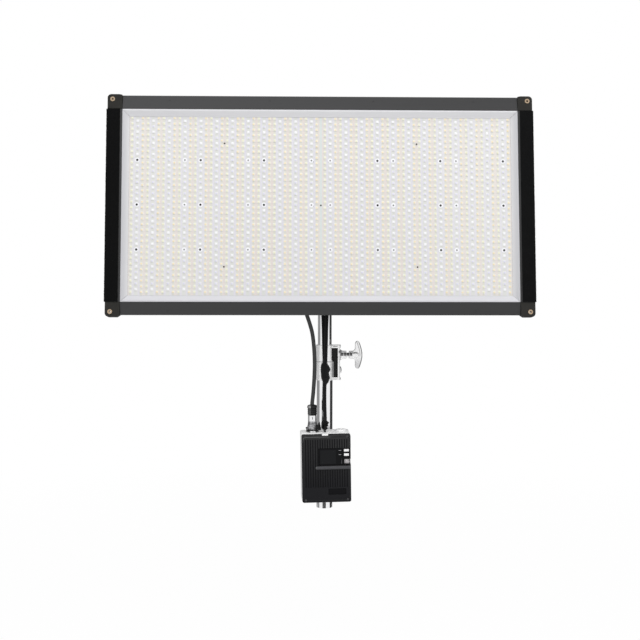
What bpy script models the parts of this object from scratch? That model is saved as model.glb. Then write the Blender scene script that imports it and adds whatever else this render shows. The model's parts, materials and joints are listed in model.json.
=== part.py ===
# LED panel light on a telescoping post, with a control box hung on a lanyard.
# Metres, +Z up, the lit face towards -Y, the origin on the axis of the post, where its stand holds it.

import math

import bmesh
import bpy
from mathutils import Vector

# Driving dimensions of the panel, over its corner mouldings
PANEL_W = 1.040
PANEL_H = 0.545
PANEL_T = 0.020
PANEL_OFFSET_X = -0.0130
PANEL_TILT = math.radians(8.0)
BORDER = 0.036
RAIL_DROPS = {1: 0.0017, -1: 0.0054}
RAIL_SLOPE = 0.004
RAIL_WALL = 0.002
STRIP_INSET = 0.005
STRIP_T = 0.0022
LED_BORDER = 0.0165
BOARD_COUNT = 6
BOARD_T = 0.0016

# Driving dimensions of the post, the clamp collar and the tilt head
POST_LOW = 0.005
POST_R = 0.0202
POST_BORE_R = 0.01785
RISER_R = 0.0175
RISER_BORE_R = 0.0160
RISER_LOW = 0.150
COLLAR_R = 0.0225
COLLAR_LOW = 0.333
COLLAR_HIGH = 0.4226
COLLAR_SEAM = 0.381
HANDLE_Z = 0.397
GUIDE_BOLT_Z = 0.3585
RECEIVER_LOW = 0.596
RECEIVER_HIGH = 0.680
RISER_TOP = 0.644
PIN_R = 0.0143
PIVOT_Z = 0.757
PIVOT_R = 0.006
PANEL_STANDOFF = 0.108

# Driving dimensions of the control box, in its own frame at the middle of its top
BOX_W = 0.1215
BOX_H = 0.170
BOX_D = 0.080
BOX_AT = (-0.0007, -0.066, 0.2099)
BOX_LEAN = math.radians(0.9)
BOX_YAW = math.radians(2.2)
BOX_WALL = 0.0025
COVER_W = 0.121
COVER_D = 0.0117
RIB_PITCH = 0.006
RIB_GROOVE = 0.0026
RIB_DEPTH = 0.0014
RIB_LOW, RIB_HIGH = -0.1323, -0.0127
SOCKET_AT = (-0.0309, 0.007)
INLET_AT = (0.0400, 0.007)
EYE_X = -0.0003

# Cable and rope
CABLE_D = 0.009
ROPE_D = 0.009
GAP = 0.0003

# Hand-chosen points of the head cable, from the gland behind the panel to the boot on the plug
CABLE_ROUTE = [
    (-0.0605, -0.1026, 0.5660),
    (-0.0600, -0.1024, 0.5480),
    (-0.0538, -0.0990, 0.5220),
    (-0.0438, -0.0930, 0.4950),
    (-0.0336, -0.0850, 0.4600),
    (-0.0288, -0.0770, 0.4220),
    (-0.0269, -0.0700, 0.3820),
    (-0.0279, -0.0646, 0.3420),
    (-0.0301, -0.0616, 0.3080),
    (-0.0317, -0.0608, 0.2920),
    (-0.0326, -0.0603, 0.2838),
    (-0.0328, -0.0602, 0.2778),
]

# Hand-chosen points of the lanyard's loop, up one side, round the neck of the head and down the other
LOOP_ROUTE = [
    (-0.0020, -0.0466, 0.3818),
    (-0.0027, -0.0440, 0.4050),
    (-0.0035, -0.0420, 0.4300),
    (-0.0039, -0.0402, 0.4500),
    (-0.0046, -0.0388, 0.4750),
    (-0.0056, -0.0384, 0.5000),
    (-0.0082, -0.0356, 0.5500),
    (-0.0108, -0.0318, 0.6000),
    (-0.0146, -0.0276, 0.6450),
    (-0.0180, -0.0218, 0.6770),
    (-0.0197, -0.0110, 0.6890),
    (-0.0194, 0.0040, 0.6915),
    (-0.0130, 0.0148, 0.6920),
    (0.0000, 0.0197, 0.6922),
    (0.0130, 0.0148, 0.6920),
    (0.0194, 0.0040, 0.6915),
    (0.0197, -0.0110, 0.6890),
    (0.0180, -0.0218, 0.6770),
    (0.0146, -0.0276, 0.6450),
    (0.0100, -0.0318, 0.6000),
    (0.0066, -0.0364, 0.5500),
    (0.0044, -0.0412, 0.5000),
    (0.0031, -0.0462, 0.4750),
    (0.0024, -0.0486, 0.4500),
    (0.0019, -0.0508, 0.4300),
    (0.0011, -0.0530, 0.4050),
    (0.0006, -0.0556, 0.3818),
]
KNOT_LOW = (-0.0014, -0.0552, 0.3262)
KNOT_HIGH = (-0.0008, -0.0510, 0.3815)
TAIL_ROUTE = [
    (-0.0014, -0.0552, 0.3259),
    (-0.0017, -0.0574, 0.3000),
    (-0.0014, -0.0604, 0.2700),
    (-0.0009, -0.0634, 0.2520),
    (-0.0010, -0.0652, 0.2410),
]

FINISHES = {
    "chrome": ((0.78, 0.78, 0.79), 0.12, 1.0),
    "black_anodised": ((0.085, 0.085, 0.087), 0.45, 0.6),
    "black_moulding": ((0.050, 0.052, 0.053), 0.55, 0.0),
    "brass": ((0.78, 0.60, 0.36), 0.28, 1.0),
    "black_loop": ((0.010, 0.010, 0.011), 0.95, 0.0),
    "white_reflector": ((0.70, 0.69, 0.73), 0.50, 0.0),
    "white_board": ((0.76, 0.76, 0.78), 0.45, 0.0),
    "dark_sheet": ((0.060, 0.060, 0.062), 0.60, 0.2),
    "light_grey": ((0.66, 0.66, 0.67), 0.40, 0.3),
    "black_glass": ((0.012, 0.013, 0.014), 0.08, 0.0),
    "white_key": ((0.86, 0.86, 0.86), 0.40, 0.0),
    "grey_knob": ((0.52, 0.49, 0.49), 0.35, 0.6),
    "black_rubber": ((0.022, 0.022, 0.023), 0.70, 0.0),
    "black_rope": ((0.014, 0.014, 0.015), 0.90, 0.0),
    "cable_jacket": ((0.050, 0.052, 0.053), 0.60, 0.0),
    "green_board": ((0.03, 0.14, 0.07), 0.50, 0.0),
}


# Scene and object helpers
def clear_scene():
    for obj in list(bpy.data.objects):
        bpy.data.objects.remove(obj)


def collection(name):
    made = bpy.data.collections.new(name)
    bpy.context.scene.collection.children.link(made)
    return made


def finish(name):
    found = bpy.data.materials.get(name)
    if found:
        return found
    colour, roughness, metallic = FINISHES[name]
    made = bpy.data.materials.new(name)
    made.use_nodes = True
    shader = made.node_tree.nodes["Principled BSDF"]
    shader.inputs["Base Color"].default_value = (*colour, 1.0)
    shader.inputs["Roughness"].default_value = roughness
    shader.inputs["Metallic"].default_value = metallic
    return made


def frame_at(name, location, rotation=(0.0, 0.0, 0.0)):
    empty = bpy.data.objects.new(name, None)
    empty.location = location
    empty.rotation_euler = rotation
    PARTS.objects.link(empty)
    return empty


def piece(name, data, surface, parent, location=(0.0, 0.0, 0.0), rotation=(0.0, 0.0, 0.0)):
    obj = bpy.data.objects.new(name, data)
    obj.location = location
    obj.rotation_euler = rotation
    obj.parent = parent
    PARTS.objects.link(obj)
    data.materials.clear()
    data.materials.append(finish(surface))
    data.shade_smooth()
    data.set_sharp_from_angle(angle=math.radians(35))
    return obj


# Pieces that only cut another, or that are joined into it, are kept apart and aren't rendered
def boolean(obj, others, operation):
    group = bpy.data.collections.new(f"{obj.name}_{operation.lower()}")
    CUTTERS.children.link(group)
    for other in others:
        PARTS.objects.unlink(other)
        group.objects.link(other)
        other.hide_render = True
        other.display_type = "WIRE"
    modifier = obj.modifiers.new(operation.title(), "BOOLEAN")
    modifier.operation = operation
    modifier.solver = "EXACT"
    modifier.operand_type = "COLLECTION"
    modifier.collection = group
    return obj


def cut(obj, *cutters):
    return boolean(obj, cutters, "DIFFERENCE")


def join(obj, *others):
    return boolean(obj, others, "UNION")


def round_edges(obj, width, segments=2, angle=40.0):
    modifier = obj.modifiers.new("Round", "BEVEL")
    modifier.width = width
    modifier.segments = segments
    modifier.limit_method = "ANGLE"
    modifier.angle_limit = math.radians(angle)
    return obj


# Primitive shapes
def block(name, low, high, surface, parent, front_scale=None):
    low, high = Vector(low), Vector(high)
    size = high - low
    bm = bmesh.new()
    bmesh.ops.create_cube(bm, size=1.0)
    bmesh.ops.scale(bm, vec=size, verts=bm.verts)
    if front_scale:
        facing = [v for v in bm.verts if v.co.y < 0]
        bmesh.ops.scale(bm, vec=(front_scale[0], 1.0, front_scale[1]), verts=facing)
    mesh = bpy.data.meshes.new(name)
    bm.to_mesh(mesh)
    bm.free()
    return piece(name, mesh, surface, parent, (low + high) / 2)


# A profile of (radius, height), down its outer side, turned about the piece's own Z
def turned(name, profile, surface, parent, location=(0.0, 0.0, 0.0), along="Z", steps=32, ring=False):
    mesh = bpy.data.meshes.new(name)
    count = len(profile)
    edges = [(i, (i + 1) % count) for i in range(count if ring else count - 1)]
    mesh.from_pydata([(r, 0.0, h) for r, h in profile], edges, [])
    obj = piece(name, mesh, surface, parent, location, ALONG[along])
    screw = obj.modifiers.new("Turn", "SCREW")
    screw.steps = screw.render_steps = steps
    screw.use_merge_vertices = True
    screw.merge_threshold = 0.00001
    return obj


# Turns a piece's own Z onto the named axis
ALONG = {
    "X": (0.0, math.pi / 2, 0.0),
    "Y": (-math.pi / 2, 0.0, 0.0),
    "-Y": (math.pi / 2, 0.0, 0.0),
    "Z": (0.0, 0.0, 0.0),
}

# Lays an outline's own X and Y in the named plane
IN_PLANE = {
    "XY": (0.0, 0.0, 0.0),
    "XZ": (math.pi / 2, 0.0, 0.0),
    "YZ": (math.pi / 2, 0.0, math.pi / 2),
}


def rod(name, radius, start, end, surface, parent, location, along, steps=24):
    profile = [(0.0, end), (radius, end), (radius, start), (0.0, start)]
    return turned(name, profile, surface, parent, location, along, steps)


def mesh_of(curve_object):
    bpy.context.view_layer.update()
    graph = bpy.context.evaluated_depsgraph_get()
    mesh = bpy.data.meshes.new_from_object(curve_object.evaluated_get(graph))
    bm = bmesh.new()
    bm.from_mesh(mesh)
    bmesh.ops.remove_doubles(bm, verts=bm.verts, dist=0.000002)
    bmesh.ops.recalc_face_normals(bm, faces=bm.faces)
    bm.to_mesh(mesh)
    bm.free()
    bpy.data.objects.remove(curve_object)
    return mesh


# A flat outline with holes, given a thickness centred on its plane
def plate(name, outlines, thickness, plane, surface, parent, location):
    curve = bpy.data.curves.new(name, "CURVE")
    curve.dimensions = "2D"
    curve.fill_mode = "BOTH"
    curve.extrude = thickness / 2
    for outline in outlines:
        spline = curve.splines.new("POLY")
        spline.points.add(len(outline) - 1)
        spline.use_cyclic_u = True
        for point, (x, y) in zip(spline.points, outline):
            point.co = (x, y, 0.0, 1.0)
    drawn = bpy.data.objects.new(name, curve)
    PARTS.objects.link(drawn)
    return piece(name, mesh_of(drawn), surface, parent, location, IN_PLANE[plane])


def arc(centre, radius, start, end, count):
    angles = [math.radians(start + (end - start) * i / (count - 1)) for i in range(count)]
    return [(centre[0] + radius * math.cos(a), centre[1] + radius * math.sin(a)) for a in angles]


def circle(centre, radius, count=16):
    return arc(centre, radius, 0.0, 360.0 * (count - 1) / count, count)


def rounded_rectangle(width, height, radius, count=5):
    x, y = width / 2 - radius, height / 2 - radius
    corners = [((x, y), 0), ((-x, y), 90), ((-x, -y), 180), ((x, -y), 270)]
    return [p for centre, turn in corners for p in arc(centre, radius, turn, turn + 90, count)]


# Points along a Catmull-Rom curve through the given ones
def smooth_path(points, per_span):
    given = [Vector(p) for p in points]
    ends = [2 * given[0] - given[1], *given, 2 * given[-1] - given[-2]]
    path = []
    for a, b, c, d in zip(ends, ends[1:], ends[2:], ends[3:]):
        for i in range(per_span):
            t = i / per_span
            path.append(
                b + 0.5 * ((c - a) * t + (2 * a - 5 * b + 4 * c - d) * t**2 + (3 * b - a - 3 * c + d) * t**3)
            )
    return path + [given[-1]]


# A round bar along a line of points, thinned at each point by its share of the full radius
def bar(name, path, radius, surface, parent, location=(0.0, 0.0, 0.0), shares=None, resolution=2):
    curve = bpy.data.curves.new(name, "CURVE")
    curve.dimensions = "3D"
    curve.bevel_depth = radius
    curve.bevel_resolution = resolution
    curve.use_fill_caps = True
    spline = curve.splines.new("POLY")
    spline.points.add(len(path) - 1)
    for i, (point, place) in enumerate(zip(spline.points, path)):
        point.co = (*place, 1.0)
        point.radius = shares[i] if shares else 1.0
    drawn = bpy.data.objects.new(name, curve)
    PARTS.objects.link(drawn)
    return piece(name, mesh_of(drawn), surface, parent, location)


# The post: lower tube, clamp collar, clamp shoe, guide bolt and T-handle
def lower_tube():
    top = COLLAR_SEAM - 0.0008
    wall = [(POST_R, top), (POST_R, POST_LOW), (POST_BORE_R, POST_LOW), (POST_BORE_R, top)]
    return turned("lower_tube", wall, "chrome", POST, ring=True)


HOUSING_HALF = 0.011
HOUSING_OUT = 0.0384
HOUSING_LIP = 0.0410
WINDOW_IN = 0.0226
WINDOW_IN_HIGH = 0.0170
WINDOW_OUT = 0.0325
WINDOW_LOW = COLLAR_LOW + 0.0072
WINDOW_HIGH = COLLAR_HIGH - 0.0074
SHOE_STEP_Z = COLLAR_SEAM + 0.004
CAP_LINE_HIGH = COLLAR_HIGH - 0.0032
CAP_LINE_LOW = COLLAR_LOW + 0.0034
BOSS_OUT = 0.0552
SHANK_R = 0.0055
GUIDE_SHANK_R = 0.004


def collar_casting():
    groove = 0.0009
    sleeve = [
        (0.0, COLLAR_HIGH),
        (COLLAR_R - 0.001, COLLAR_HIGH),
        (COLLAR_R, COLLAR_HIGH - 0.001),
        (COLLAR_R, COLLAR_SEAM + groove),
        (COLLAR_R - groove, COLLAR_SEAM),
        (COLLAR_R, COLLAR_SEAM - groove),
        (COLLAR_R, COLLAR_LOW + 0.001),
        (COLLAR_R - 0.001, COLLAR_LOW),
        (0.0, COLLAR_LOW),
    ]
    collar = turned("collar_casting", sleeve, "chrome", POST, steps=28)
    low, high, root = COLLAR_LOW + 0.0006, COLLAR_HIGH - 0.0004, 0.0182
    outer = [
        (root, high),
        (HOUSING_LIP, high),
        (HOUSING_LIP, high - 0.003),
        (HOUSING_OUT, high - 0.008),
        (HOUSING_OUT, low + 0.008),
        (HOUSING_LIP, low + 0.003),
        (HOUSING_LIP, low),
        (root, low),
    ]
    housing = plate("collar_housing", [outer], 2 * HOUSING_HALF, "XZ", "chrome", POST, (0, 0, 0))
    round_edges(housing, 0.0010, 1, 50)
    boss_r, boss_root, boss_low = 0.0102, HOUSING_OUT - 0.0004, 0.035
    flare = [
        (0.0, BOSS_OUT),
        (boss_r - 0.0008, BOSS_OUT),
        (boss_r, BOSS_OUT - 0.0008),
        (boss_r, boss_root + 0.0100),
        (boss_r + 0.0011, boss_root + 0.0055),
        (boss_r + 0.0030, boss_root + 0.0025),
        (boss_r + 0.0060, boss_root),
        (boss_r + 0.0060, boss_low),
        (0.0, boss_low),
    ]
    boss = turned("collar_boss", flare, "chrome", POST, (0, 0, HANDLE_Z), "X", 24)
    join(collar, housing, boss)
    window = block(
        "housing_window",
        (WINDOW_IN, -0.016, WINDOW_LOW),
        (WINDOW_OUT, 0.016, WINDOW_HIGH),
        "chrome",
        POST,
    )
    upper_window = block(
        "upper_window",
        (WINDOW_IN_HIGH, -0.026, COLLAR_SEAM + 0.0030),
        (WINDOW_OUT, 0.026, WINDOW_HIGH),
        "chrome",
        POST,
    )
    shoe_way = block(
        "shoe_way",
        (0.010, -HOUSING_HALF + 0.0006, COLLAR_SEAM + 0.0030),
        (WINDOW_IN_HIGH + 0.002, HOUSING_HALF - 0.0006, WINDOW_HIGH),
        "chrome",
        POST,
    )
    lines = [
        block(
            f"cap_line_{label}",
            (0.0212, side * (HOUSING_HALF + 0.002) - 0.0035, z - 0.00045),
            (WINDOW_OUT - 0.0005, side * (HOUSING_HALF + 0.002) + 0.0035, z + 0.00045),
            "chrome",
            POST,
        )
        for label, side, z in (
            ("front_high", -1, CAP_LINE_HIGH),
            ("front_low", -1, CAP_LINE_LOW),
            ("back_high", 1, CAP_LINE_HIGH),
            ("back_low", 1, CAP_LINE_LOW),
        )
    ]
    outside = BOSS_OUT + 0.005
    screw_way = rod("screw_way", SHANK_R + GAP, 0.030, outside, "chrome", POST, (0, 0, HANDLE_Z), "X")
    bolt_way = rod("bolt_way", GUIDE_SHANK_R + GAP, 0.030, 0.045, "chrome", POST, (0, 0, GUIDE_BOLT_Z), "X")
    step, below, above = COLLAR_SEAM - 0.0004, COLLAR_LOW - 0.005, COLLAR_HIGH + 0.005
    post_way = rod("post_way", POST_R + GAP, below, step, "chrome", POST, (0, 0, 0), "Z", 28)
    bore = rod("riser_bore", RISER_R + GAP, step - 0.002, above, "chrome", POST, (0, 0, 0), "Z", 28)
    return cut(collar, bolt_way, screw_way, window, upper_window, shoe_way, *lines, post_way, bore)


SHOE_OUT = 0.0306


def clamp_shoe():
    low, high = WINDOW_LOW + 0.0004, WINDOW_HIGH - 0.0010
    outline = [
        (SHOE_OUT, high),
        (0.0120, high),
        (0.0120, SHOE_STEP_Z),
        (WINDOW_IN + GAP, SHOE_STEP_Z),
        (WINDOW_IN + GAP, low),
        (SHOE_OUT, low),
    ]
    shoe = plate("clamp_shoe", [outline], 2 * HOUSING_HALF - 0.002, "XZ", "black_rubber", POST, (0, 0, 0))
    riser_way = rod("riser_way", RISER_R + GAP, 0.30, 0.50, "chrome", POST, (0, 0, 0), "Z", 32)
    return cut(shoe, riser_way)


def guide_bolt():
    tip, seat, dome = WINDOW_OUT + 0.0004, HOUSING_OUT + GAP, 0.0046
    head_r = 0.0096
    head = [(head_r * math.sin(a), seat + dome * math.cos(a)) for a in (0.0, 0.45, 0.9, 1.3)]
    profile = [*head, (head_r, seat), (GUIDE_SHANK_R, seat), (GUIDE_SHANK_R, tip), (0.0, tip)]
    return turned("guide_bolt", profile, "chrome", POST, (0, 0, GUIDE_BOLT_Z), "X", 20)


# Along the handle's axis: x is measured from the end of its shank, which presses on the shoe
def t_handle():
    axis = frame_at("handle_axis", (SHOE_OUT + GAP, 0, HANDLE_Z))
    hub, hub_low = 0.0102, 0.0308
    profile = [
        (0.0, 0.0580),
        (0.0050, 0.0572),
        (0.0084, 0.0545),
        (hub, 0.0500),
        (hub, hub_low + 0.0008),
        (hub - 0.0008, hub_low),
        (SHANK_R, hub_low),
        (SHANK_R, 0.001),
        (SHANK_R - 0.001, 0.0),
        (0.0, 0.0),
    ]
    handle = turned("t_handle", profile, "chrome", axis, along="X", steps=24)
    inner, half, tip, fillet, root = 0.0466, 0.0350, 0.0062, 0.0068, 0.0094
    end, swell, stations = 0.0588, 0.0062, (-1, -0.6, -0.2, 0.2, 0.6, 1)
    bow = [(end + swell * math.cos(math.pi / 2 * s), s * (half - tip)) for s in stations]
    wing = [
        *bow,
        *arc((inner + tip, half - tip), tip, 60, 180, 5),
        (inner, root + fillet),
        (inner - 0.3 * fillet, root + 0.3 * fillet),
        (inner - fillet, root),
        (inner - fillet, -root),
        (inner - 0.3 * fillet, -root - 0.3 * fillet),
        (inner, -root - fillet),
        *arc((inner + tip, tip - half), tip, 180, 300, 5),
    ]
    crossbar = plate("handle_crossbar", [wing], 0.0125, "XZ", "chrome", axis, (0, 0, 0))
    round_edges(crossbar, 0.0028, 1, 50)
    return join(handle, crossbar)


# The riser: tube, receiver and its lock knob
def riser_tube():
    top = RISER_TOP
    wall = [(RISER_R, top), (RISER_R, RISER_LOW), (RISER_BORE_R, RISER_LOW), (RISER_BORE_R, top)]
    return turned("riser_tube", wall, "chrome", RISER, ring=True)


LOCK_Z = RECEIVER_HIGH - 0.020
LOCK_R = 0.005
RECEIVER_R = 0.022


def receiver():
    step = RISER_TOP + GAP
    sleeve = [
        (RECEIVER_R - 0.0015, RECEIVER_HIGH),
        (RECEIVER_R, RECEIVER_HIGH - 0.0015),
        (RECEIVER_R, RECEIVER_LOW + 0.002),
        (RECEIVER_R - 0.0015, RECEIVER_LOW),
        (RISER_R + GAP, RECEIVER_LOW),
        (RISER_R + GAP, step),
        (PIN_R + GAP, step),
        (PIN_R + GAP, RECEIVER_HIGH),
    ]
    body = turned("receiver", sleeve, "chrome", RISER, steps=24, ring=True)
    boss = rod("receiver_boss", 0.0095, 0.0195, 0.030, "chrome", RISER, (0, 0, LOCK_Z), "Y")
    lock_way = rod("lock_way", LOCK_R + GAP, 0.010, 0.040, "chrome", RISER, (0, 0, LOCK_Z), "Y", 16)
    return cut(join(body, boss), lock_way)


def pan_knob():
    axis = frame_at("pan_knob_axis", (0, PIN_R + 2 * GAP, LOCK_Z))
    lobes, count, near, far = 5, 30, 0.0205, 0.0385
    rim = []
    for i in range(count):
        angle = 2 * math.pi * i / count
        reach = 0.0150 + 0.0018 * math.cos(lobes * angle)
        rim.append((reach * math.cos(angle), reach * math.sin(angle)))
    grip = plate("pan_knob", [rim], far - near, "XZ", "black_moulding", axis, (0, (near + far) / 2, 0))
    round_edges(grip, 0.0016, 1, 50)
    stem = rod("pan_knob_stem", LOCK_R, 0.0, near + 0.004, "chrome", axis, (0, 0, 0), "Y", 16)
    return join(grip, stem)


# The head: yoke on its pin, pivot bolt and lock lever
EAR_IN = 0.0220
EAR_OUT = 0.0310
EAR_R = 0.0150
YOKE_LOW = 0.7050


def tilt_yoke():
    pin_low = RISER_TOP + 2 * GAP
    pin_profile = [
        (0.0, YOKE_LOW + 0.004),
        (PIN_R, YOKE_LOW + 0.004),
        (PIN_R, pin_low + 0.0015),
        (PIN_R - 0.0015, pin_low),
        (0.0, pin_low),
    ]
    yoke = turned("tilt_yoke", pin_profile, "black_moulding", HEAD, (0, 0, -PIVOT_Z))
    base = block(
        "yoke_base",
        (-EAR_OUT, -0.0175, YOKE_LOW - PIVOT_Z),
        (EAR_OUT, 0.0175, YOKE_LOW + 0.014 - PIVOT_Z),
        "black_moulding",
        HEAD,
    )
    round_edges(base, 0.003, 1)
    foot = YOKE_LOW + 0.003 - PIVOT_Z
    ear = [*arc((0.0, 0.0), EAR_R, 0, 180, 9), (-EAR_R, foot), (EAR_R, foot)]
    outlines = [ear, circle((0.0, 0.0), PIVOT_R + GAP)]
    middle, thick = (EAR_IN + EAR_OUT) / 2, EAR_OUT - EAR_IN
    ears = [
        plate(f"yoke_ear_{side}", outlines, thick, "YZ", "black_moulding", HEAD, (sign * middle, 0, 0))
        for side, sign in (("left", -1), ("right", 1))
    ]
    return join(yoke, base, *ears)


def pivot_bolt():
    profile = [
        (0.0, 0.0478),
        (PIVOT_R - 0.001, 0.0478),
        (PIVOT_R, 0.0468),
        (PIVOT_R, -EAR_OUT - GAP),
        (0.0100, -EAR_OUT - GAP),
        (0.0100, -EAR_OUT - 0.0062),
        (0.0085, -EAR_OUT - 0.0074),
        (0.0, -EAR_OUT - 0.0074),
    ]
    return turned("pivot_bolt", profile, "chrome", HEAD, (0, 0, 0), "X", 16)


def tilt_lever():
    near, far = EAR_OUT + GAP, 0.0455
    hub_profile = [
        (0.0115, far - 0.001),
        (0.0125, near),
        (PIVOT_R + GAP, near),
        (PIVOT_R + GAP, far - 0.001),
    ]
    lever = turned("tilt_lever", hub_profile, "black_moulding", HEAD, (0, 0, 0), "X", 20, ring=True)
    path = [
        (0.0375, 0.0095, -0.0055),
        (0.0400, 0.0260, -0.0150),
        (0.0430, 0.0430, -0.0250),
        (0.0440, 0.0620, -0.0360),
    ]
    arm = bar("lever_arm", smooth_path(path, 2), 0.0052, "black_moulding", HEAD, resolution=2)
    tip, ball, bands = (0.0440, 0.0640, -0.0372), 0.0085, 6
    angles = [math.pi * i / bands for i in range(1, bands)]
    profile = [(0.0, ball), *[(ball * math.sin(a), ball * math.cos(a)) for a in angles], (0.0, -ball)]
    knob = turned("lever_knob", profile, "black_moulding", HEAD, tip, "Z", 14)
    return join(lever, arm, knob)


# The panel, in a frame on the tilt axis: its front plane is at -PANEL_STANDOFF
FRONT = -PANEL_STANDOFF
BACK = FRONT + PANEL_T
HALF_W = PANEL_W / 2
HALF_H = PANEL_H / 2
INNER_W = HALF_W - BORDER
INNER_H = HALF_H - BORDER


def panel_bracket():
    plate_t, near = 0.006, BACK + GAP
    base = plate(
        "panel_bracket",
        [rounded_rectangle(0.130, 0.110, 0.014, 4)],
        plate_t,
        "XZ",
        "black_moulding",
        PANEL,
        (0, near + plate_t / 2, 0),
    )
    root = near + 0.003
    cheek = [*arc((0.0, 0.0), EAR_R, -80, 80, 8), (root, 0.030), (root, -0.030)]
    outlines = [cheek, circle((0.0, 0.0), PIVOT_R + GAP)]
    cheeks = [
        plate(f"bracket_cheek_{side}", outlines, 0.008, "YZ", "black_moulding", PANEL, (sign * 0.0174, 0, 0))
        for side, sign in (("left", -1), ("right", 1))
    ]
    return join(base, *cheeks)


def back_panel():
    reach = 0.016
    w, h = INNER_W - GAP, INNER_H - GAP
    outline = [
        (w + reach, -h), (w + reach, h), (w, h), (w, h + reach - 0.002),
        (-w, h + reach - 0.002), (-w, h), (-w - reach, h), (-w - reach, -h),
        (-w, -h), (-w, -h - reach + 0.002), (w, -h - reach + 0.002), (w, -h),
    ]
    thick = 0.0032
    middle = FRONT + 0.0127 + thick / 2
    return plate("back_panel", [outline], thick, "XZ", "dark_sheet", PANEL, (PANEL_OFFSET_X, middle, 0))


def long_rail(side, sign):
    edge = HALF_H - RAIL_DROPS[sign]
    web, back_lip, shoulder = edge - 0.0022, INNER_H + 0.0105, FRONT + RAIL_SLOPE
    section = [
        (FRONT, INNER_H), (shoulder, edge - 0.0016), (shoulder + 0.0016, edge), (BACK, edge),
        (BACK, back_lip), (BACK - RAIL_WALL, back_lip), (BACK - RAIL_WALL, web),
        (shoulder + RAIL_WALL, web), (FRONT + RAIL_WALL, INNER_H),
    ]
    outline = [(y, sign * z) for y, z in section]
    length = 2 * (INNER_W - GAP)
    return plate(f"{side}_rail", [outline], length, "YZ", "black_anodised", PANEL, (PANEL_OFFSET_X, 0, 0))


def side_rail(side, sign):
    web, back_lip = HALF_W - 0.0025, INNER_W + 0.012
    section = [
        (INNER_W, FRONT), (HALF_W, FRONT), (HALF_W, BACK), (back_lip, BACK),
        (back_lip, BACK - RAIL_WALL), (web, BACK - RAIL_WALL), (web, FRONT + RAIL_WALL),
        (INNER_W, FRONT + RAIL_WALL),
    ]
    outline = [(sign * x, y) for x, y in section]
    length = 2 * (INNER_H - GAP)
    return plate(f"{side}_rail", [outline], length, "XY", "black_anodised", PANEL, (PANEL_OFFSET_X, 0, 0))


CORNER_PROUD = 0.0008
INSERT_INSET = 0.0122
INSERT_R = 0.0049


def corner_moulding(name, side, level):
    x0, z0, radius = INNER_W + GAP, INNER_H + GAP, 0.009
    outline = [
        (x0, z0),
        (HALF_W, z0),
        *arc((HALF_W - radius, HALF_H - radius), radius, 0, 90, 6),
        (x0 + 0.0075, HALF_H),
        (x0, HALF_H - RAIL_DROPS[level] + 0.0004),
    ]
    hole = circle((HALF_W - INSERT_INSET, HALF_H - INSERT_INSET), INSERT_R + 2 * GAP, 12)
    outlines = [[(side * x, level * z) for x, z in line] for line in (outline, hole)]
    near, far = FRONT - CORNER_PROUD, BACK + 0.0006
    middle = (PANEL_OFFSET_X, (near + far) / 2, 0)
    moulding = plate(name, outlines, far - near, "XZ", "black_moulding", PANEL, middle)
    return round_edges(moulding, 0.0008, 1, 50)


def corner_insert(name, side, level):
    flange_t, length, bore, flange_r = 0.0014, 0.0140, 0.0023, 0.0060
    profile = [
        (flange_r - 0.0006, flange_t),
        (flange_r, flange_t - 0.0006),
        (flange_r, GAP),
        (INSERT_R, GAP),
        (INSERT_R, -length),
        (bore, -length),
        (bore, flange_t - 0.0008),
        (bore + 0.0008, flange_t),
    ]
    place = (
        PANEL_OFFSET_X + side * (HALF_W - INSERT_INSET),
        FRONT - CORNER_PROUD,
        level * (HALF_H - INSERT_INSET),
    )
    return turned(name, profile, "brass", PANEL, place, "-Y", 12, ring=True)


def loop_strip(side, sign):
    inner, outer = INNER_W + STRIP_INSET, HALF_W + GAP + STRIP_T
    near = FRONT - GAP - STRIP_T
    section = [
        (inner, FRONT - GAP),
        (inner, near + 0.0006),
        (inner + 0.0006, near),
        (outer - 0.0010, near),
        (outer, near + 0.0010),
        (outer, BACK - 0.002),
        (HALF_W + GAP, BACK - 0.002),
        (HALF_W + GAP, FRONT - GAP),
    ]
    outline = [(sign * x, y) for x, y in section]
    length = 2 * (INNER_H - 2 * GAP)
    return plate(f"{side}_loop_strip", [outline], length, "XY", "black_loop", PANEL, (PANEL_OFFSET_X, 0, 0))


# Four sloped strips that meet in mitres round the boards
def reflector_strip(name, side, level):
    w, h = INNER_W - GAP, INNER_H - GAP
    back_w, back_h = INNER_W - LED_BORDER, INNER_H - LED_BORDER
    near, far, rim, over = FRONT + 0.0006, FRONT + 0.0105, 0.003, 0.001
    if level:
        outline = [(-w + GAP, h), (w - GAP, h), (back_w - GAP, back_h), (-back_w + GAP, back_h)]
        outline = [(x, level * z) for x, z in outline]
    else:
        outline = [(w, -h + GAP), (w, h - GAP), (back_w, back_h - GAP), (back_w, -back_h + GAP)]
        outline = [(side * x, z) for x, z in outline]
    middle = (PANEL_OFFSET_X, (near + far) / 2, 0)
    strip = plate(name, [outline], far - near, "XZ", "white_reflector", PANEL, middle)
    mouth = block(
        f"{name}_mouth",
        (PANEL_OFFSET_X - back_w - over, near - over, -back_h - over),
        (PANEL_OFFSET_X + back_w + over, far - over, back_h + over),
        "white_reflector",
        PANEL,
        front_scale=((w - rim) / back_w, (h - rim) / back_h),
    )
    return cut(strip, mouth)


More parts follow.
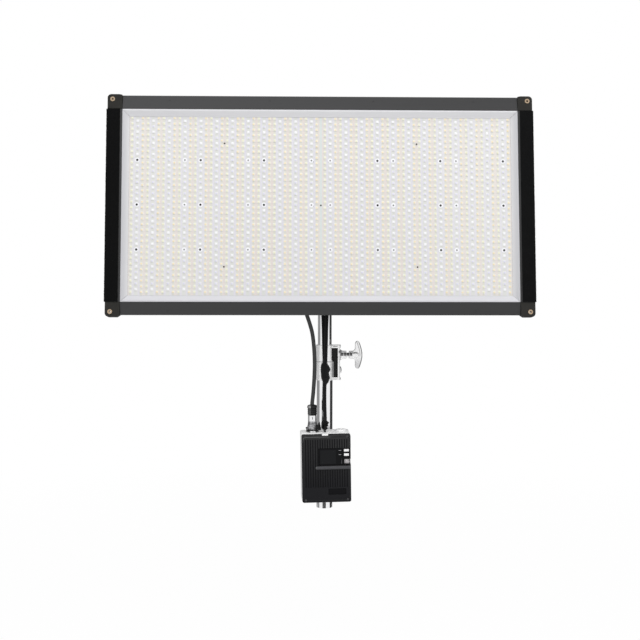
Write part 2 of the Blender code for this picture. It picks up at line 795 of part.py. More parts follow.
def led_board(index):
    width = 2 * (INNER_W - LED_BORDER) / BOARD_COUNT
    half_h = INNER_H - LED_BORDER + 0.002
    x = PANEL_OFFSET_X + (index - (BOARD_COUNT - 1) / 2) * width
    near = FRONT + 0.0108
    columns = (-0.3785, 0.3785)
    holes = [circle((c * width, level), 0.0020, 6) for c in columns for level in (-0.1098, 0.0, 0.1098)]
    w = width / 2 - GAP / 2
    outline = [(w, half_h), (-w, half_h), (-w, -half_h), (w, -half_h)]
    return plate(
        f"led_board_{index + 1}",
        [outline, *holes],
        BOARD_T,
        "XZ",
        "white_board",
        PANEL,
        (x, near + BOARD_T / 2, 0),
    )


GLAND_X = -0.0605
GLAND_Y = BACK + 0.0125
JUNCTION_LOW = -0.157


def junction_box():
    box = block(
        "junction_box",
        (GLAND_X - 0.036, BACK + GAP, JUNCTION_LOW),
        (GLAND_X + 0.036, BACK + 0.024, JUNCTION_LOW + 0.056),
        "black_moulding",
        PANEL,
    )
    return round_edges(box, 0.004)


def cable_gland():
    tip = CABLE_D / 2 + 0.0012
    profile = [
        (0.0, -GAP),
        (0.0098, -GAP),
        (0.0098, -0.0070),
        (0.0082, -0.0085),
        (0.0078, -0.0130),
        (0.0066, -0.0220),
        (tip, -0.0320),
        (tip - 0.0006, -0.0330),
        (0.0, -0.0330),
    ]
    return turned("cable_gland", profile, "black_rubber", PANEL, (GLAND_X, GLAND_Y, JUNCTION_LOW), "Z", 16)


# The control box, in its own frame: x to its right, y to its back, z up from its top
COVER_BACK = -BOX_D / 2 + COVER_D
COVER_FACE = -BOX_D / 2
COVER_FLOOR = COVER_FACE + 0.008
POCKET_FLOOR = COVER_FACE + 0.003
SOCKET_R = 0.0120
INLET_R = 0.0110
TAB_T = 0.0011


def box_chassis():
    w, h, back = BOX_W / 2, BOX_H, BOX_D / 2
    outer = block("box_chassis", (-w, COVER_BACK + GAP, -h), (w, back, 0), "light_grey", BOX)
    round_edges(outer, 0.003)
    t = BOX_WALL
    inside_low, inside_high = (-w + t, COVER_BACK - 0.002, -h + t), (w - t, back - t, -t)
    inside = block("chassis_inside", inside_low, inside_high, "light_grey", BOX)
    ways = [
        rod(f"{label}_way", radius + GAP, -0.010, 0.010, "light_grey", BOX, (*at, 0), "Z")
        for label, radius, at in (("socket", SOCKET_R, SOCKET_AT), ("inlet", INLET_R, INLET_AT))
    ]
    left, right, lip = -0.0102, 0.0048, COVER_FACE - GAP - TAB_T
    tab_top = block("tab_top", (left, lip, -0.0002), (right, COVER_BACK + 0.008, TAB_T), "light_grey", BOX)
    tab_lip = block("tab_lip", (left, lip, -0.0028), (right, COVER_FACE - GAP, TAB_T), "light_grey", BOX)
    join(outer, tab_top, tab_lip)
    return cut(outer, inside, *ways)


SCREEN_LOW, SCREEN_HIGH = -0.0775, -0.0348
SCREEN_LEFT = -0.0192
KEY_X = (0.0436, 0.0561)
KEY_LEVELS = {"menu_key": (-0.0440, -0.0380), "mode_key": (-0.0548, -0.0488)}
WHEEL_X = (0.0447, 0.0598)
WHEEL_Y = COVER_FACE + 0.0050
WHEEL_Z = -0.0688
WHEEL_R = 0.0056
AXLE_R = 0.0015
BADGE_LOW = (0.0048, -0.1500)
BADGE_HIGH = (0.0477, -0.1360)


def rib_grooves():
    count = 18
    bm = bmesh.new()
    for i in range(count):
        made = bmesh.ops.create_cube(bm, size=1.0)["verts"]
        bmesh.ops.scale(bm, vec=(RIB_GROOVE, 2 * RIB_DEPTH, RIB_HIGH - RIB_LOW), verts=made)
        bmesh.ops.translate(bm, vec=((i - (count - 1) / 2) * RIB_PITCH, 0.0, 0.0), verts=made)
    mesh = bpy.data.meshes.new("rib_grooves")
    bm.to_mesh(mesh)
    bm.free()
    return piece("rib_grooves", mesh, "black_moulding", BOX, (0, COVER_FACE, (RIB_LOW + RIB_HIGH) / 2))


def front_cover():
    w, h = COVER_W, BOX_H - 0.001
    middle = (COVER_FACE + COVER_BACK) / 2
    cover = plate(
        "front_cover",
        [rounded_rectangle(w, h, 0.0044)],
        COVER_D,
        "XZ",
        "black_moulding",
        BOX,
        (0, middle, -BOX_H / 2),
    )
    round_edges(cover, 0.0012, 1, 60)
    cut(cover, rib_grooves())
    guard_z, guard_r, left, right = -0.0832, 0.0048, -0.0270, 0.0603
    guard_path = [(x, 0, 0) for x in (left, left + 0.0012, left + 0.004, right - 0.003, right)]
    guard = bar(
        "screen_guard",
        guard_path,
        guard_r,
        "black_moulding",
        BOX,
        (0, COVER_FACE + 0.001, guard_z),
        shares=[0.55, 0.85, 1.0, 1.0, 0.7],
    )
    join(cover, guard)
    rim = 0.005
    cavity = block(
        "cover_cavity",
        (-w / 2 + rim, COVER_FLOOR, -BOX_H + rim),
        (w / 2 - rim, COVER_BACK + 0.002, -rim),
        "black_moulding",
        BOX,
    )
    screen_pocket = block(
        "screen_pocket",
        (SCREEN_LEFT, COVER_FACE - 0.003, SCREEN_LOW),
        (0.064, POCKET_FLOOR, SCREEN_HIGH),
        "black_moulding",
        BOX,
    )
    badge_pocket = block(
        "badge_pocket",
        (BADGE_LOW[0] - GAP, COVER_FACE - 0.002, BADGE_LOW[1] - GAP),
        (BADGE_HIGH[0] + GAP, COVER_FACE + 0.0022, BADGE_HIGH[1] + GAP),
        "black_moulding",
        BOX,
    )
    key_ways = [
        block(
            f"{name}_way",
            (KEY_X[0] - 2 * GAP, COVER_FACE, low - 2 * GAP),
            (KEY_X[1] + 2 * GAP, COVER_BACK, high + 2 * GAP),
            "black_moulding",
            BOX,
        )
        for name, (low, high) in KEY_LEVELS.items()
    ]
    clear = WHEEL_R + 0.0006
    wheel_way = block(
        "wheel_way",
        (WHEEL_X[0] - 2 * GAP, COVER_FACE - 0.004, WHEEL_Z - clear),
        (0.064, COVER_BACK + 0.002, WHEEL_Z + clear),
        "black_moulding",
        BOX,
    )
    wheel_axis = (0, WHEEL_Y, WHEEL_Z)
    axle_way = rod("axle_way", AXLE_R + GAP, 0.036, 0.050, "black_moulding", BOX, wheel_axis, "X", 12)
    return cut(cover, cavity, screen_pocket, badge_pocket, *key_ways, wheel_way, axle_way)


def display_window():
    low = (SCREEN_LEFT + 0.0006, COVER_FACE + 0.0006, SCREEN_LOW + 0.0006)
    high = (0.0405, POCKET_FLOOR - GAP, SCREEN_HIGH - 0.0006)
    return round_edges(block("display_window", low, high, "black_glass", BOX), 0.0006, 1)


def key(name):
    low, high = KEY_LEVELS[name]
    proud, deep = 0.0002, 0.0072
    button = block(
        name,
        (KEY_X[0], COVER_FACE - proud, low),
        (KEY_X[1], COVER_FACE + deep, high),
        "white_key",
        BOX,
    )
    return round_edges(button, 0.0010, 2)


def encoder_wheel():
    teeth, depth = 24, 0.0004
    near, far = WHEEL_X
    profile = []
    for i in range(2 * teeth):
        a = math.pi * i / teeth
        r = WHEEL_R - (depth if i % 2 else 0.0)
        profile.append((r * math.cos(a), r * math.sin(a)))
    wheel = plate(
        "encoder_wheel", [profile], far - near, "YZ", "grey_knob", BOX, ((near + far) / 2, WHEEL_Y, WHEEL_Z)
    )
    axle = rod("wheel_axle", AXLE_R, 0.0375, near + 0.003, "grey_knob", BOX, (0, WHEEL_Y, WHEEL_Z), "X", 12)
    return join(wheel, axle)


def blank_badge():
    low = (BADGE_LOW[0], COVER_FACE + 0.0001, BADGE_LOW[1])
    high = (BADGE_HIGH[0], COVER_FACE + 0.0019, BADGE_HIGH[1])
    return round_edges(block("blank_badge", low, high, "black_glass", BOX), 0.0005, 1)


def head_socket():
    bore = 0.0102
    profile = [
        (0.0, -0.0160),
        (bore, -0.0160),
        (bore, 0.0034),
        (0.0142, 0.0034),
        (0.0155, 0.0022),
        (0.0155, GAP),
        (SOCKET_R, GAP),
        (SOCKET_R, -0.0200),
        (0.0, -0.0200),
    ]
    return turned("head_socket", profile, "light_grey", BOX, (*SOCKET_AT, 0), "Z", 20)


LATCH_OUT = 0.0141


def latch_lever():
    x0, y0 = SOCKET_AT[0] + LATCH_OUT, SOCKET_AT[1]
    foot, shoulder, tip = 0.0038, 0.0200, 0.0245
    outline = [
        (x0, foot),
        (x0 + 0.0074, foot),
        (x0 + 0.0071, 0.0087),
        (x0 + 0.0044, tip),
        (x0 + 0.0030, tip),
        (x0 + 0.0014, shoulder),
        (x0, shoulder),
    ]
    wedge = plate("latch_lever", [outline], 0.0081, "XZ", "black_rubber", BOX, (0, y0 + 0.00045, 0))
    near, behind, low, high = y0 - 0.0152, y0 - 0.0127, 0.0075, 0.0195
    bridge = block("latch_bridge", (x0, near, low), (x0 + 0.0023, y0, high), "black_rubber", BOX)
    cheek = block("latch_cheek", (x0 - 0.0059, near, low), (x0 + 0.0015, behind, high), "black_rubber", BOX)
    return join(wedge, bridge, cheek)


def power_inlet():
    bore = 0.0085
    profile = [
        (0.0, -0.0140),
        (bore, -0.0140),
        (bore, 0.0052),
        (0.0112, 0.0052),
        (0.0120, 0.0044),
        (0.0120, 0.0030),
        (0.0150, 0.0024),
        (0.0150, GAP),
        (INLET_R, GAP),
        (INLET_R, -0.0180),
        (0.0, -0.0180),
    ]
    return turned("power_inlet", profile, "light_grey", BOX, (*INLET_AT, 0), "Z", 20)


EYE_R = 0.0020


def lanyard_eye():
    half, rise = 0.0085, 0.0085
    legs = arc((0.0, rise), half, 0, 180, 9)
    path = [(0.0, half, GAP), *[(0.0, y, z) for y, z in legs], (0.0, -half, GAP)]
    return bar("lanyard_eye", path, EYE_R, "black_moulding", BOX, (EYE_X, 0, 0))


def driver_board():
    board = block("driver_board", (-0.054, 0.0180, -0.160), (0.054, 0.0196, -0.022), "green_board", BOX)
    blocks = [
        block("transformer", (-0.042, -0.006, -0.128), (-0.006, 0.0188, -0.088), "black_moulding", BOX),
        block("capacitor_bank", (0.008, -0.002, -0.150), (0.044, 0.0188, -0.104), "black_moulding", BOX),
        block("heat_spreader", (-0.044, 0.002, -0.074), (0.044, 0.0188, -0.056), "light_grey", BOX),
    ]
    return join(board, *blocks)


# The plug and boot of the head cable, seated in the control box
PLUG_R = 0.0108
BELL_R = 0.0136
PLUG_LOW = -0.0140
PLUG_HIGH = 0.0422


def cable_plug():
    stem = 0.0098
    profile = [
        (0.0, PLUG_HIGH),
        (PLUG_R - 0.0006, PLUG_HIGH),
        (PLUG_R, PLUG_HIGH - 0.0008),
        (PLUG_R, 0.0250),
        (PLUG_R + 0.0012, 0.0170),
        (BELL_R, 0.0100),
        (BELL_R, 0.0048),
        (BELL_R - 0.0010, 0.0039),
        (stem, 0.0039),
        (stem, PLUG_LOW),
        (0.0, PLUG_LOW),
    ]
    return turned("cable_plug", profile, "chrome", BOX, (*SOCKET_AT, 0), "Z", 20)


def cable_boot():
    low, high = PLUG_HIGH + GAP, 0.0675
    crown, body = 0.0121, 0.0114
    grips = 3
    profile = [
        (0.0, high),
        (crown - 0.0034, high),
        (crown - 0.0010, high - 0.0010),
        (crown, high - 0.0034),
        (crown, high - 0.0075),
        (body - 0.0007, high - 0.0086),
    ]
    pitch = (high - 0.0094 - low) / grips
    for i in range(grips):
        top = high - 0.0094 - i * pitch
        profile += [(body, top), (body, top - 0.60 * pitch), (body - 0.0007, top - 0.75 * pitch)]
    profile += [(body, low + 0.0004), (body - 0.0006, low), (0.0, low)]
    return turned("cable_boot", profile, "black_rubber", BOX, (*SOCKET_AT, 0), "Z", 16)


def head_cable():
    path = smooth_path(CABLE_ROUTE, 3)
    return bar("head_cable", path, CABLE_D / 2, "cable_jacket", SOFT, resolution=2)


# The lanyard: a loop round the neck of the head, its knot, the tail and a snap hook
def lanyard_loop():
    path = smooth_path(LOOP_ROUTE, 2)
    return bar("lanyard_loop", path, ROPE_D / 2, "black_rope", SOFT, resolution=2)


def lanyard_knot():
    low, high = Vector(KNOT_LOW), Vector(KNOT_HIGH)
    length = (high - low).length
    lobes = [(0.0, 0.0), (0.030, 0.0070), (0.16, 0.0112), (0.30, 0.0118), (0.44, 0.0102), (0.54, 0.0100)]
    lobes += [(0.68, 0.0116), (0.84, 0.0108), (0.97, 0.0068), (1.0, 0.0)]
    profile = [(r, (1 - s) * length) for s, r in lobes]
    knot = turned("lanyard_knot", profile, "black_rope", SOFT, low, "Z", 16)
    knot.rotation_euler = (high - low).to_track_quat("Z", "Y").to_euler()
    return knot


def lanyard_tail():
    path = smooth_path(TAIL_ROUTE, 3)
    return bar("lanyard_tail", path, ROPE_D / 2, "black_rope", SOFT, resolution=2)


HOOK_WIRE = 0.0028
HOOK_HALF = 0.0060
HOOK_LOW = 0.0130
HOOK_HIGH = 0.0215


def snap_hook():
    left = arc((0.0, HOOK_LOW), HOOK_HALF, 340, 180, 9)
    top = arc((0.0, HOOK_HIGH), HOOK_HALF, 180, 20, 9)
    path = [(x, 0.0, z) for x, z in left + top]
    return bar("snap_hook", path, HOOK_WIRE, "black_moulding", BOX, (EYE_X, 0, 0))


def hook_gate():
    low, high = HOOK_LOW + 0.0010, HOOK_HIGH - 0.0010
    axis = frame_at("gate_axis", (EYE_X + HOOK_HALF, 0, low))
    axis.parent = BOX
    path = [(0, 0, share * (high - low)) for share in (0.0, 0.5, 1.0)]
    return bar("hook_gate", path, HOOK_WIRE * 0.8, "chrome", axis)


def build():
    lower_tube()
    collar_casting()
    clamp_shoe()
    guide_bolt()
    t_handle()
    riser_tube()
    receiver()
    pan_knob()
    tilt_yoke()
    pivot_bolt()
    tilt_lever()
    panel_bracket()
    back_panel()
    for side, sign in (("top", 1), ("bottom", -1)):
        long_rail(side, sign)
    for side, sign in (("left", -1), ("right", 1)):
        side_rail(side, sign)
        loop_strip(side, sign)
    for level_name, level in (("top", 1), ("bottom", -1)):
        for side_name, side in (("left", -1), ("right", 1)):
            corner_moulding(f"corner_{level_name}_{side_name}", side, level)
            corner_insert(f"insert_{level_name}_{side_name}", side, level)
    for name, side, level in (("top", 0, 1), ("bottom", 0, -1), ("left", -1, 0), ("right", 1, 0)):
        reflector_strip(f"reflector_{name}", side, level)
    for index in range(BOARD_COUNT):
        led_board(index)
    junction_box()
    cable_gland()
    box_chassis()
    front_cover()
    display_window()
    for name in KEY_LEVELS:
        key(name)
    encoder_wheel()
    blank_badge()
    head_socket()
    latch_lever()
    power_inlet()
    lanyard_eye()
    driver_board()
    cable_plug()
    cable_boot()
    head_cable()
    lanyard_loop()
    lanyard_knot()
    lanyard_tail()
    snap_hook()
    hook_gate()


clear_scene()
PARTS = collection("led_panel_light")
CUTTERS = collection("cutters")
POST = frame_at("post_frame", (0, 0, 0))
RISER = frame_at("riser_frame", (0, 0, 0))
HEAD = frame_at("head_frame", (0, 0, PIVOT_Z))
PANEL = frame_at("panel_frame", (0, 0, PIVOT_Z), (-PANEL_TILT, 0, 0))
BOX = frame_at("box_frame", BOX_AT, (0, -BOX_LEAN, BOX_YAW))
SOFT = frame_at("cord_frame", (0, 0, 0))
build()
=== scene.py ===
import bpy
import json
import math
import random
from mathutils import Euler, Matrix, Vector

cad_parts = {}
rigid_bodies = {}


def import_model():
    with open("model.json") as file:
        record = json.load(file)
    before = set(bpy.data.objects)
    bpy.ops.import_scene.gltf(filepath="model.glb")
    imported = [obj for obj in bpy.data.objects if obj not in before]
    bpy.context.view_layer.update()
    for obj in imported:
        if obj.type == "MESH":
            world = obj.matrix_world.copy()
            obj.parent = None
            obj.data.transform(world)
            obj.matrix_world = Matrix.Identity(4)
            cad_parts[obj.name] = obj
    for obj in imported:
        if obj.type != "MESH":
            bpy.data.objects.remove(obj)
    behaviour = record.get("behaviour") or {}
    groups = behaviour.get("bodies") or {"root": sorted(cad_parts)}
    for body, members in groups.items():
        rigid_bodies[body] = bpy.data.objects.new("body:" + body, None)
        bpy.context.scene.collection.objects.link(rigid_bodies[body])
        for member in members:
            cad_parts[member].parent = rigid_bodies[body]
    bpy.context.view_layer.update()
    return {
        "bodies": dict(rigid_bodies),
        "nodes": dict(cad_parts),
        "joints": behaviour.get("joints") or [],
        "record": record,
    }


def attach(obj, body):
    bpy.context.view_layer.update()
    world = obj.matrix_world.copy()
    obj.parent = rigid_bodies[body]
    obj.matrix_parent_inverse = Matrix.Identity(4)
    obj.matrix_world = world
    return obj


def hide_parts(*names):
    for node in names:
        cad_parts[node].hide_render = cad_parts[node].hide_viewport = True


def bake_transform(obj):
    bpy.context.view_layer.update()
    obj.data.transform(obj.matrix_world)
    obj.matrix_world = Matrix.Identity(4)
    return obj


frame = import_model()
nodes = frame["nodes"]
scene = bpy.context.scene
scene.view_settings.view_transform = "Standard"


# places that several pieces share, in metres in the frame of the CAD
def poseFrame(pose):
    return Matrix.LocRotScale(Vector(pose["at"]), Euler(pose["turn"]), None)


panelPose = {"at": (0, 0, 0.757), "turn": (math.radians(-8), 0, 0)}  # on the tilt axis, y to the back
boxPose = {"at": (-0.0007, -0.066, 0.2099), "turn": (0, math.radians(-0.9), math.radians(2.2))}  # box top
panelFrame = poseFrame(panelPose)
boxFrame = poseFrame(boxPose)
panelMiddle = -0.0130
toFront = Matrix.Rotation(math.radians(90), 4, "X")  # a turned piece's own z comes out of the front
toBack = Matrix.Rotation(math.radians(-90), 4, "X")
lights = {  # two halves of three boards; the boards' finish follows the same pitch
    "boards": 6, "boardWidth": 0.1545, "gap": 0.0073, "face": -0.0972,
    "rows": 32, "pitchX": 0.012875, "pitchZ": 0.0138, "rise": 0.0021,
    "bodyHalf": 0.0037, "bodyHeight": 0.0011, "bodySlope": 0.0004,
    "lensRadius": 0.0029, "lensHeight": 0.0008, "lensSides": 8, "wideLens": 1.08,
    "screwColumns": (1, 10), "screwLevels": (-0.1081, 0.0021, 0.1123), "screwRoom": 0.0062,
}


# camera at the photograph's viewing angle
viewpoint = {
    "at": (-0.0781, -2.7681, 0.6534), "turn": -1.364, "down": 3.464, "roll": 0.12,  # angles in degrees
    "lens": 61.305, "sensor": 36, "clip": (0.05, 60),
}


def placeCamera():
    a, e = math.radians(viewpoint["turn"]), math.radians(viewpoint["down"])
    back = Vector((math.sin(a) * math.cos(e), -math.cos(a) * math.cos(e), math.sin(e)))
    right = (-back).cross(Vector((0, 0, 1))).normalized()
    up = right.cross(-back)
    c, s = math.cos(math.radians(viewpoint["roll"])), math.sin(math.radians(viewpoint["roll"]))
    right, up = c * right + s * up, c * up - s * right
    eye = bpy.data.objects.new("camera", bpy.data.cameras.new("camera"))
    eye.data.lens, eye.data.sensor_width = viewpoint["lens"], viewpoint["sensor"]
    eye.data.clip_start, eye.data.clip_end = viewpoint["clip"]
    turn = Matrix((right, up, back)).transposed().to_4x4()
    eye.matrix_world = Matrix.Translation(viewpoint["at"]) @ turn
    scene.collection.objects.link(eye)
    scene.camera = eye


placeCamera()
print("camera placed")


# shader sockets with plain arithmetic
class Wire:
    def __init__(self, finish, socket):
        self.finish, self.socket = finish, socket

    def math(self, operation, a, b):
        return self.finish.node("ShaderNodeMath", {"operation": operation}, {0: a, 1: b})

    def __add__(self, other):
        return self.math("ADD", self, other)

    def __radd__(self, other):
        return self.math("ADD", other, self)

    def __sub__(self, other):
        return self.math("SUBTRACT", self, other)

    def __rsub__(self, other):
        return self.math("SUBTRACT", other, self)

    def __mul__(self, other):
        return self.math("MULTIPLY", self, other)

    def __rmul__(self, other):
        return self.math("MULTIPLY", other, self)

    def __gt__(self, other):
        return self.math("GREATER_THAN", self, other)


# the nodes of a material or of the world
class Tree:
    def __init__(self, owner):
        owner.use_nodes = True
        self.tree = owner.node_tree

    def node(self, kind, settings=None, inputs=None, out=0):
        made = self.tree.nodes.new(kind)
        for label, value in (settings or {}).items():
            if label == "stops":  # a ramp's (position, colour) pairs
                ramp = made.color_ramp
                while len(ramp.elements) < len(value):
                    ramp.elements.new(0.5)
                for element, (position, colour) in zip(ramp.elements, value):
                    element.position, element.color = position, (*colour, 1)
            else:
                setattr(made, label, value)
        for label, value in (inputs or {}).items():
            self.feed(made.inputs[label], value)
        return Wire(self, made.outputs[out])

    def feed(self, socket, value):
        if isinstance(value, Wire):
            self.tree.links.new(value.socket, socket)
        elif socket.type == "RGBA" and len(value) == 3:
            socket.default_value = (*value, 1)
        else:
            socket.default_value = value

    def seen(self):  # 1 or more where the camera sees it, also in reflections and through glass
        path = self.node("ShaderNodeLightPath").socket.node
        rays = ("Is Camera Ray", "Is Glossy Ray", "Is Transmission Ray")
        camera, glossy, through = (Wire(self, path.outputs[ray]) for ray in rays)
        return camera + glossy + through


# a material being made: its nodes, and the values or wires that its shader gets
class Finish(Tree):
    sockets = {
        "colour": "Base Color", "rough": "Roughness", "metal": "Metallic",
        "level": "Specular IOR Level", "sheen": "Sheen Weight", "normal": "Normal",
    }

    def __init__(self, name):
        self.material = bpy.data.materials.new(name)
        super().__init__(self.material)
        self.shader = self.tree.nodes["Principled BSDF"]
        self.place = self.node("ShaderNodeTexCoord", out="Object")

    def dress(self, **values):
        for label, value in values.items():
            self.feed(self.shader.inputs[self.sockets[label]], value)
        return self

    def surface(self, shader):
        self.feed(self.tree.nodes["Material Output"].inputs["Surface"], shader)
        return self

    def cover(self, share, shader):  # a second shader mixed over the first
        first = Wire(self, self.shader.outputs[0])
        return self.surface(self.node("ShaderNodeMixShader", None, {0: share, 1: first, 2: shader}))

    def darkPartsAndShade(self, share, grey):  # dark unpolished parts of a bright finish, and painted shade over it
        plain = {"Base Color": (grey, grey, grey), "Roughness": 0.8, "Specular IOR Level": 0.0}
        return self.cover(share, self.node("ShaderNodeBsdfPrincipled", None, plain))

    def glow(self, strength):
        return self.node("ShaderNodeEmission", None, {"Color": (1, 1, 1), "Strength": strength})

    def noise(self, scale, detail=2.0, stretch=None, distortion=0.0):
        spot = self.place
        if stretch:
            spot = self.node("ShaderNodeMapping", None, {"Vector": spot, "Scale": stretch})
        return self.node("ShaderNodeTexNoise", None,
                         {"Vector": spot, "Scale": scale, "Detail": detail, "Distortion": distortion})

    def band(self, value, low, high):  # 0 below low, 1 above high
        return self.node("ShaderNodeMapRange", {"interpolation_type": "SMOOTHSTEP"},
                         {0: value, 1: low, 2: high})

    def within(self, value, low, high, soft=0.0003):  # 1 between low and high
        return self.band(value, low - soft, low + soft) * (1 - self.band(value, high - soft, high + soft))

    def size(self, value):  # without its sign
        return self.node("ShaderNodeMath", {"operation": "ABSOLUTE"}, {0: value})

    def wave(self, value):  # cosine
        return self.node("ShaderNodeMath", {"operation": "COSINE"}, {0: value})

    def mix(self, share, a, b):
        return self.node("ShaderNodeMix", {"data_type": "RGBA"}, {0: share, 6: a, 7: b}, out=2)

    def bump(self, height, strength, depth):
        return self.node("ShaderNodeBump", None, {"Height": height, "Strength": strength, "Distance": depth})

    def axes(self, pose=None):  # x, y and z of the piece, or of a tilted frame
        spot = self.place
        if pose:
            spot = self.node("ShaderNodeMapping", {"vector_type": "TEXTURE"},
                             {"Vector": spot, "Location": pose["at"], "Rotation": pose["turn"]})
        split = self.node("ShaderNodeSeparateXYZ", None, {"Vector": spot})
        return [Wire(self, out) for out in split.socket.node.outputs]


# what a finish marks on the clamp: pairs are low and high edges, in x unless the name ends otherwise;
# At is a middle, and Turn the radians for each metre of a wave
clampMarks = {
    "window": (0.0164, 0.0334), "windowZ": (0.3398, 0.4154), "windowDeep": (0.0098, 0.0106),
    "sillShadeLine": (0.0322, 0.0331), "jambShade": (0.0188, 0.0227), "jambZ": (0.3400, 0.3812),
    "notchShade": (0.0188, 0.0262), "notchZ": (0.3806, 0.3850),
    "paleLeft": (-0.0150, -0.0125), "paleRight": (0.0150, 0.0186), "paleZ": (0.3340, 0.4250),
    "cap": (0.0208, 0.0326), "capHighZ": (0.4186, 0.4202), "capLowZ": (0.3356, 0.3370),
    "seamEnd": (0.0176, 0.0186), "seamZ": (0.3796, 0.3810),
    "rim": (0.0376, 0.0396), "rimDeep": (0.0090, 0.0098), "rimZ": (0.330, 0.424),
    "belt": (0.0405, 0.0706), "beltAtZ": 0.3990, "beltReach": (0.0030, 0.0046),
    "ringAt": 0.0437, "ringTurn": 816, "ridge": (0.0410, 0.0730), "ridgeZ": (0.4056, 0.4076),
    "wingAtZ": 0.397, "wingTurn": 54.54, "wingBow": 0.0062, "wingOut": 0.0897,
    "edge": (-0.0030, -0.0016), "inner": (-0.0074, -0.0052), "innerZ": (0.3900, 0.3980),
    "low": (0.0740, 0.0780), "lowZ": (0.3720, 0.3960),
}
# the same on the control box and its plug, from the middle of the box top
boxMarks = {
    "bellZ": (0.0240, 0.0300), "footZ": (0.0062, 0.0084), "socketAt": -0.0309, "gasketBesideHighlight": (0.0056, 0.0082),
    "paintedGleam": (-0.0408, -0.0350), "paintedGleamZ": (0.0605, 0.0662),
    "sunkY": (-0.0397, -0.0389), "proudY": (-0.0416, -0.0404), "highZ": (-0.150, -0.010),
    "browZ": (-0.0125, -0.0085), "bright": (-0.02, 0.055), "barEnd": (-0.0262, -0.0222),
    "wheel": (0.0480, 0.0570), "screen": (-0.0148, 0.0235), "screenZ": (-0.0739, -0.0397),
    "corner": (0.0020, 0.0160), "cornerZ": (-0.0200, -0.0095),
    "ramp": (0.0300, 0.0420), "rampZ": (-0.0800, -0.0500),
}
# and on the panel; inward and ends are distances from its middle
panelMarks = {
    "rail": (-0.56, 0.54), "railZ": (0.55, 0.95), "rightStrip": (-0.2, 0.2),
    "inward": (0.4660, 0.4820), "ends": (0.10, 0.46),
}


# a grain, on two colours that the grain or a wider cloud mixes
def plainFinish(name, dark, bright, grain, rough, cloud=None, bump=None, **values):
    f = Finish(name)
    fine = f.noise(*grain)
    wide = f.noise(*cloud) if cloud else fine
    least, more = rough
    if bump:
        values["normal"] = f.bump(fine, *bump)
    return f.dress(colour=f.mix(wide, dark, bright), rough=least + fine * more, **values)


# chrome, metals
def chromePlate():
    f = Finish("chromePlate")
    haze = f.noise(38, 3)
    drawn = f.noise(260, 2, (1, 1, 0.03))
    return f.dress(colour=f.mix(haze, (0.82, 0.82, 0.83), (0.90, 0.90, 0.91)), metal=1.0,
                   rough=0.045 + haze * 0.05 + drawn * 0.03, normal=f.bump(drawn, 0.02, 0.0001))


def castChrome():  # bright castings; painted shade in the window and round it, and on the wing's outer edge, inner crease and lower half; darkened at the joints, along the rim and the ridge, and in the turned rings
    f = Finish("castChrome")
    m = clampMarks
    haze = f.noise(60, 3)
    grain = f.noise(1500, 2)
    x, y, z = f.axes()
    deep = f.size(y)
    window = f.within(z, *m["windowZ"])
    # painted shade inside the window, along its right edge, on the step in its left side and on the grey band
    # left of its lower part
    windowWallShade = f.within(x, *m["window"]) * (1 - f.band(deep, *m["windowDeep"])) * window
    sillShadeLine = f.within(x, *m["sillShadeLine"]) * window
    jambShade = f.within(x, *m["jambShade"]) * f.within(z, *m["jambZ"])
    notchShade = f.within(x, *m["notchShade"]) * f.within(z, *m["notchZ"])
    pale = (1 - f.band(x, *m["paleLeft"]) + f.within(x, *m["paleRight"])) * f.within(z, *m["paleZ"])
    capLines = f.within(x, *m["cap"]) * (f.within(z, *m["capHighZ"]) + f.within(z, *m["capLowZ"]) * 0.6)
    seam = f.within(z, *m["seamZ"]) * (1 - f.band(x, *m["seamEnd"]))
    rim = f.within(x, *m["rim"]) * f.band(deep, *m["rimDeep"]) * f.within(z, *m["rimZ"])
    rings = f.wave((x - m["ringAt"]) * m["ringTurn"]) * 0.5 + 0.5
    beltHigh = 1 - f.band(f.size(z - m["beltAtZ"]), *m["beltReach"])
    belt = f.within(x, *m["belt"]) * beltHigh * (0.55 + rings * 0.45)
    ridge = f.within(x, *m["ridge"]) * f.within(z, *m["ridgeZ"])
    bow = f.wave((z - m["wingAtZ"]) * m["wingTurn"]) * m["wingBow"] + m["wingOut"]  # outer edge of the wing
    # painted shade: the wing's outer edge and its inner crease darker, and its lower half greyer
    edge = f.band(x - bow, *m["edge"]) * 0.85
    inner = f.within(x - bow, *m["inner"]) * f.band(z, *m["innerZ"]) * 0.5
    low = f.band(x, *m["low"]) * (1 - f.band(z, *m["lowZ"]))
    colour = f.mix(haze, (0.95, 0.95, 0.955), (0.99, 0.99, 0.99))
    # the wing's lower half greyer and the window's left band darker, painted shade; darker at the seam and
    # along the ridge
    colour = f.mix(low * 0.7, colour, (0.58, 0.58, 0.585))
    colour = f.mix(jambShade * 0.85 + seam * 0.6 + ridge * 0.7, colour, (0.16, 0.16, 0.165))
    f.dress(colour=colour, metal=0.85 - jambShade * 0.5 - pale * 0.6, rough=0.32 + grain * 0.10,
            normal=f.bump(grain, 0.05, 0.0002))
    return f.darkPartsAndShade(windowWallShade + sillShadeLine + notchShade + belt + capLines * 0.85 + rim * 0.6 + edge + inner, 0.016)


def plugChrome():  # darker, mottled bell below the polished sleeve
    f = Finish("plugChrome")
    haze = f.noise(90, 3)
    mottle = f.band(f.noise(210, 3), 0.36, 0.66)
    _, _, z = f.axes(boxPose)
    bell = 1 - f.band(z, *boxMarks["bellZ"])
    foot = 1 - f.band(z, *boxMarks["footZ"])
    mottledBell = f.mix(mottle, (0.15, 0.15, 0.155), (0.46, 0.46, 0.47))
    colour = f.mix(bell, (0.86, 0.86, 0.87), mottledBell)
    return f.dress(colour=f.mix(foot, colour, (0.03, 0.03, 0.031)), metal=1 - bell * 0.3,
                   rough=0.08 + haze * 0.06 + bell * 0.22)


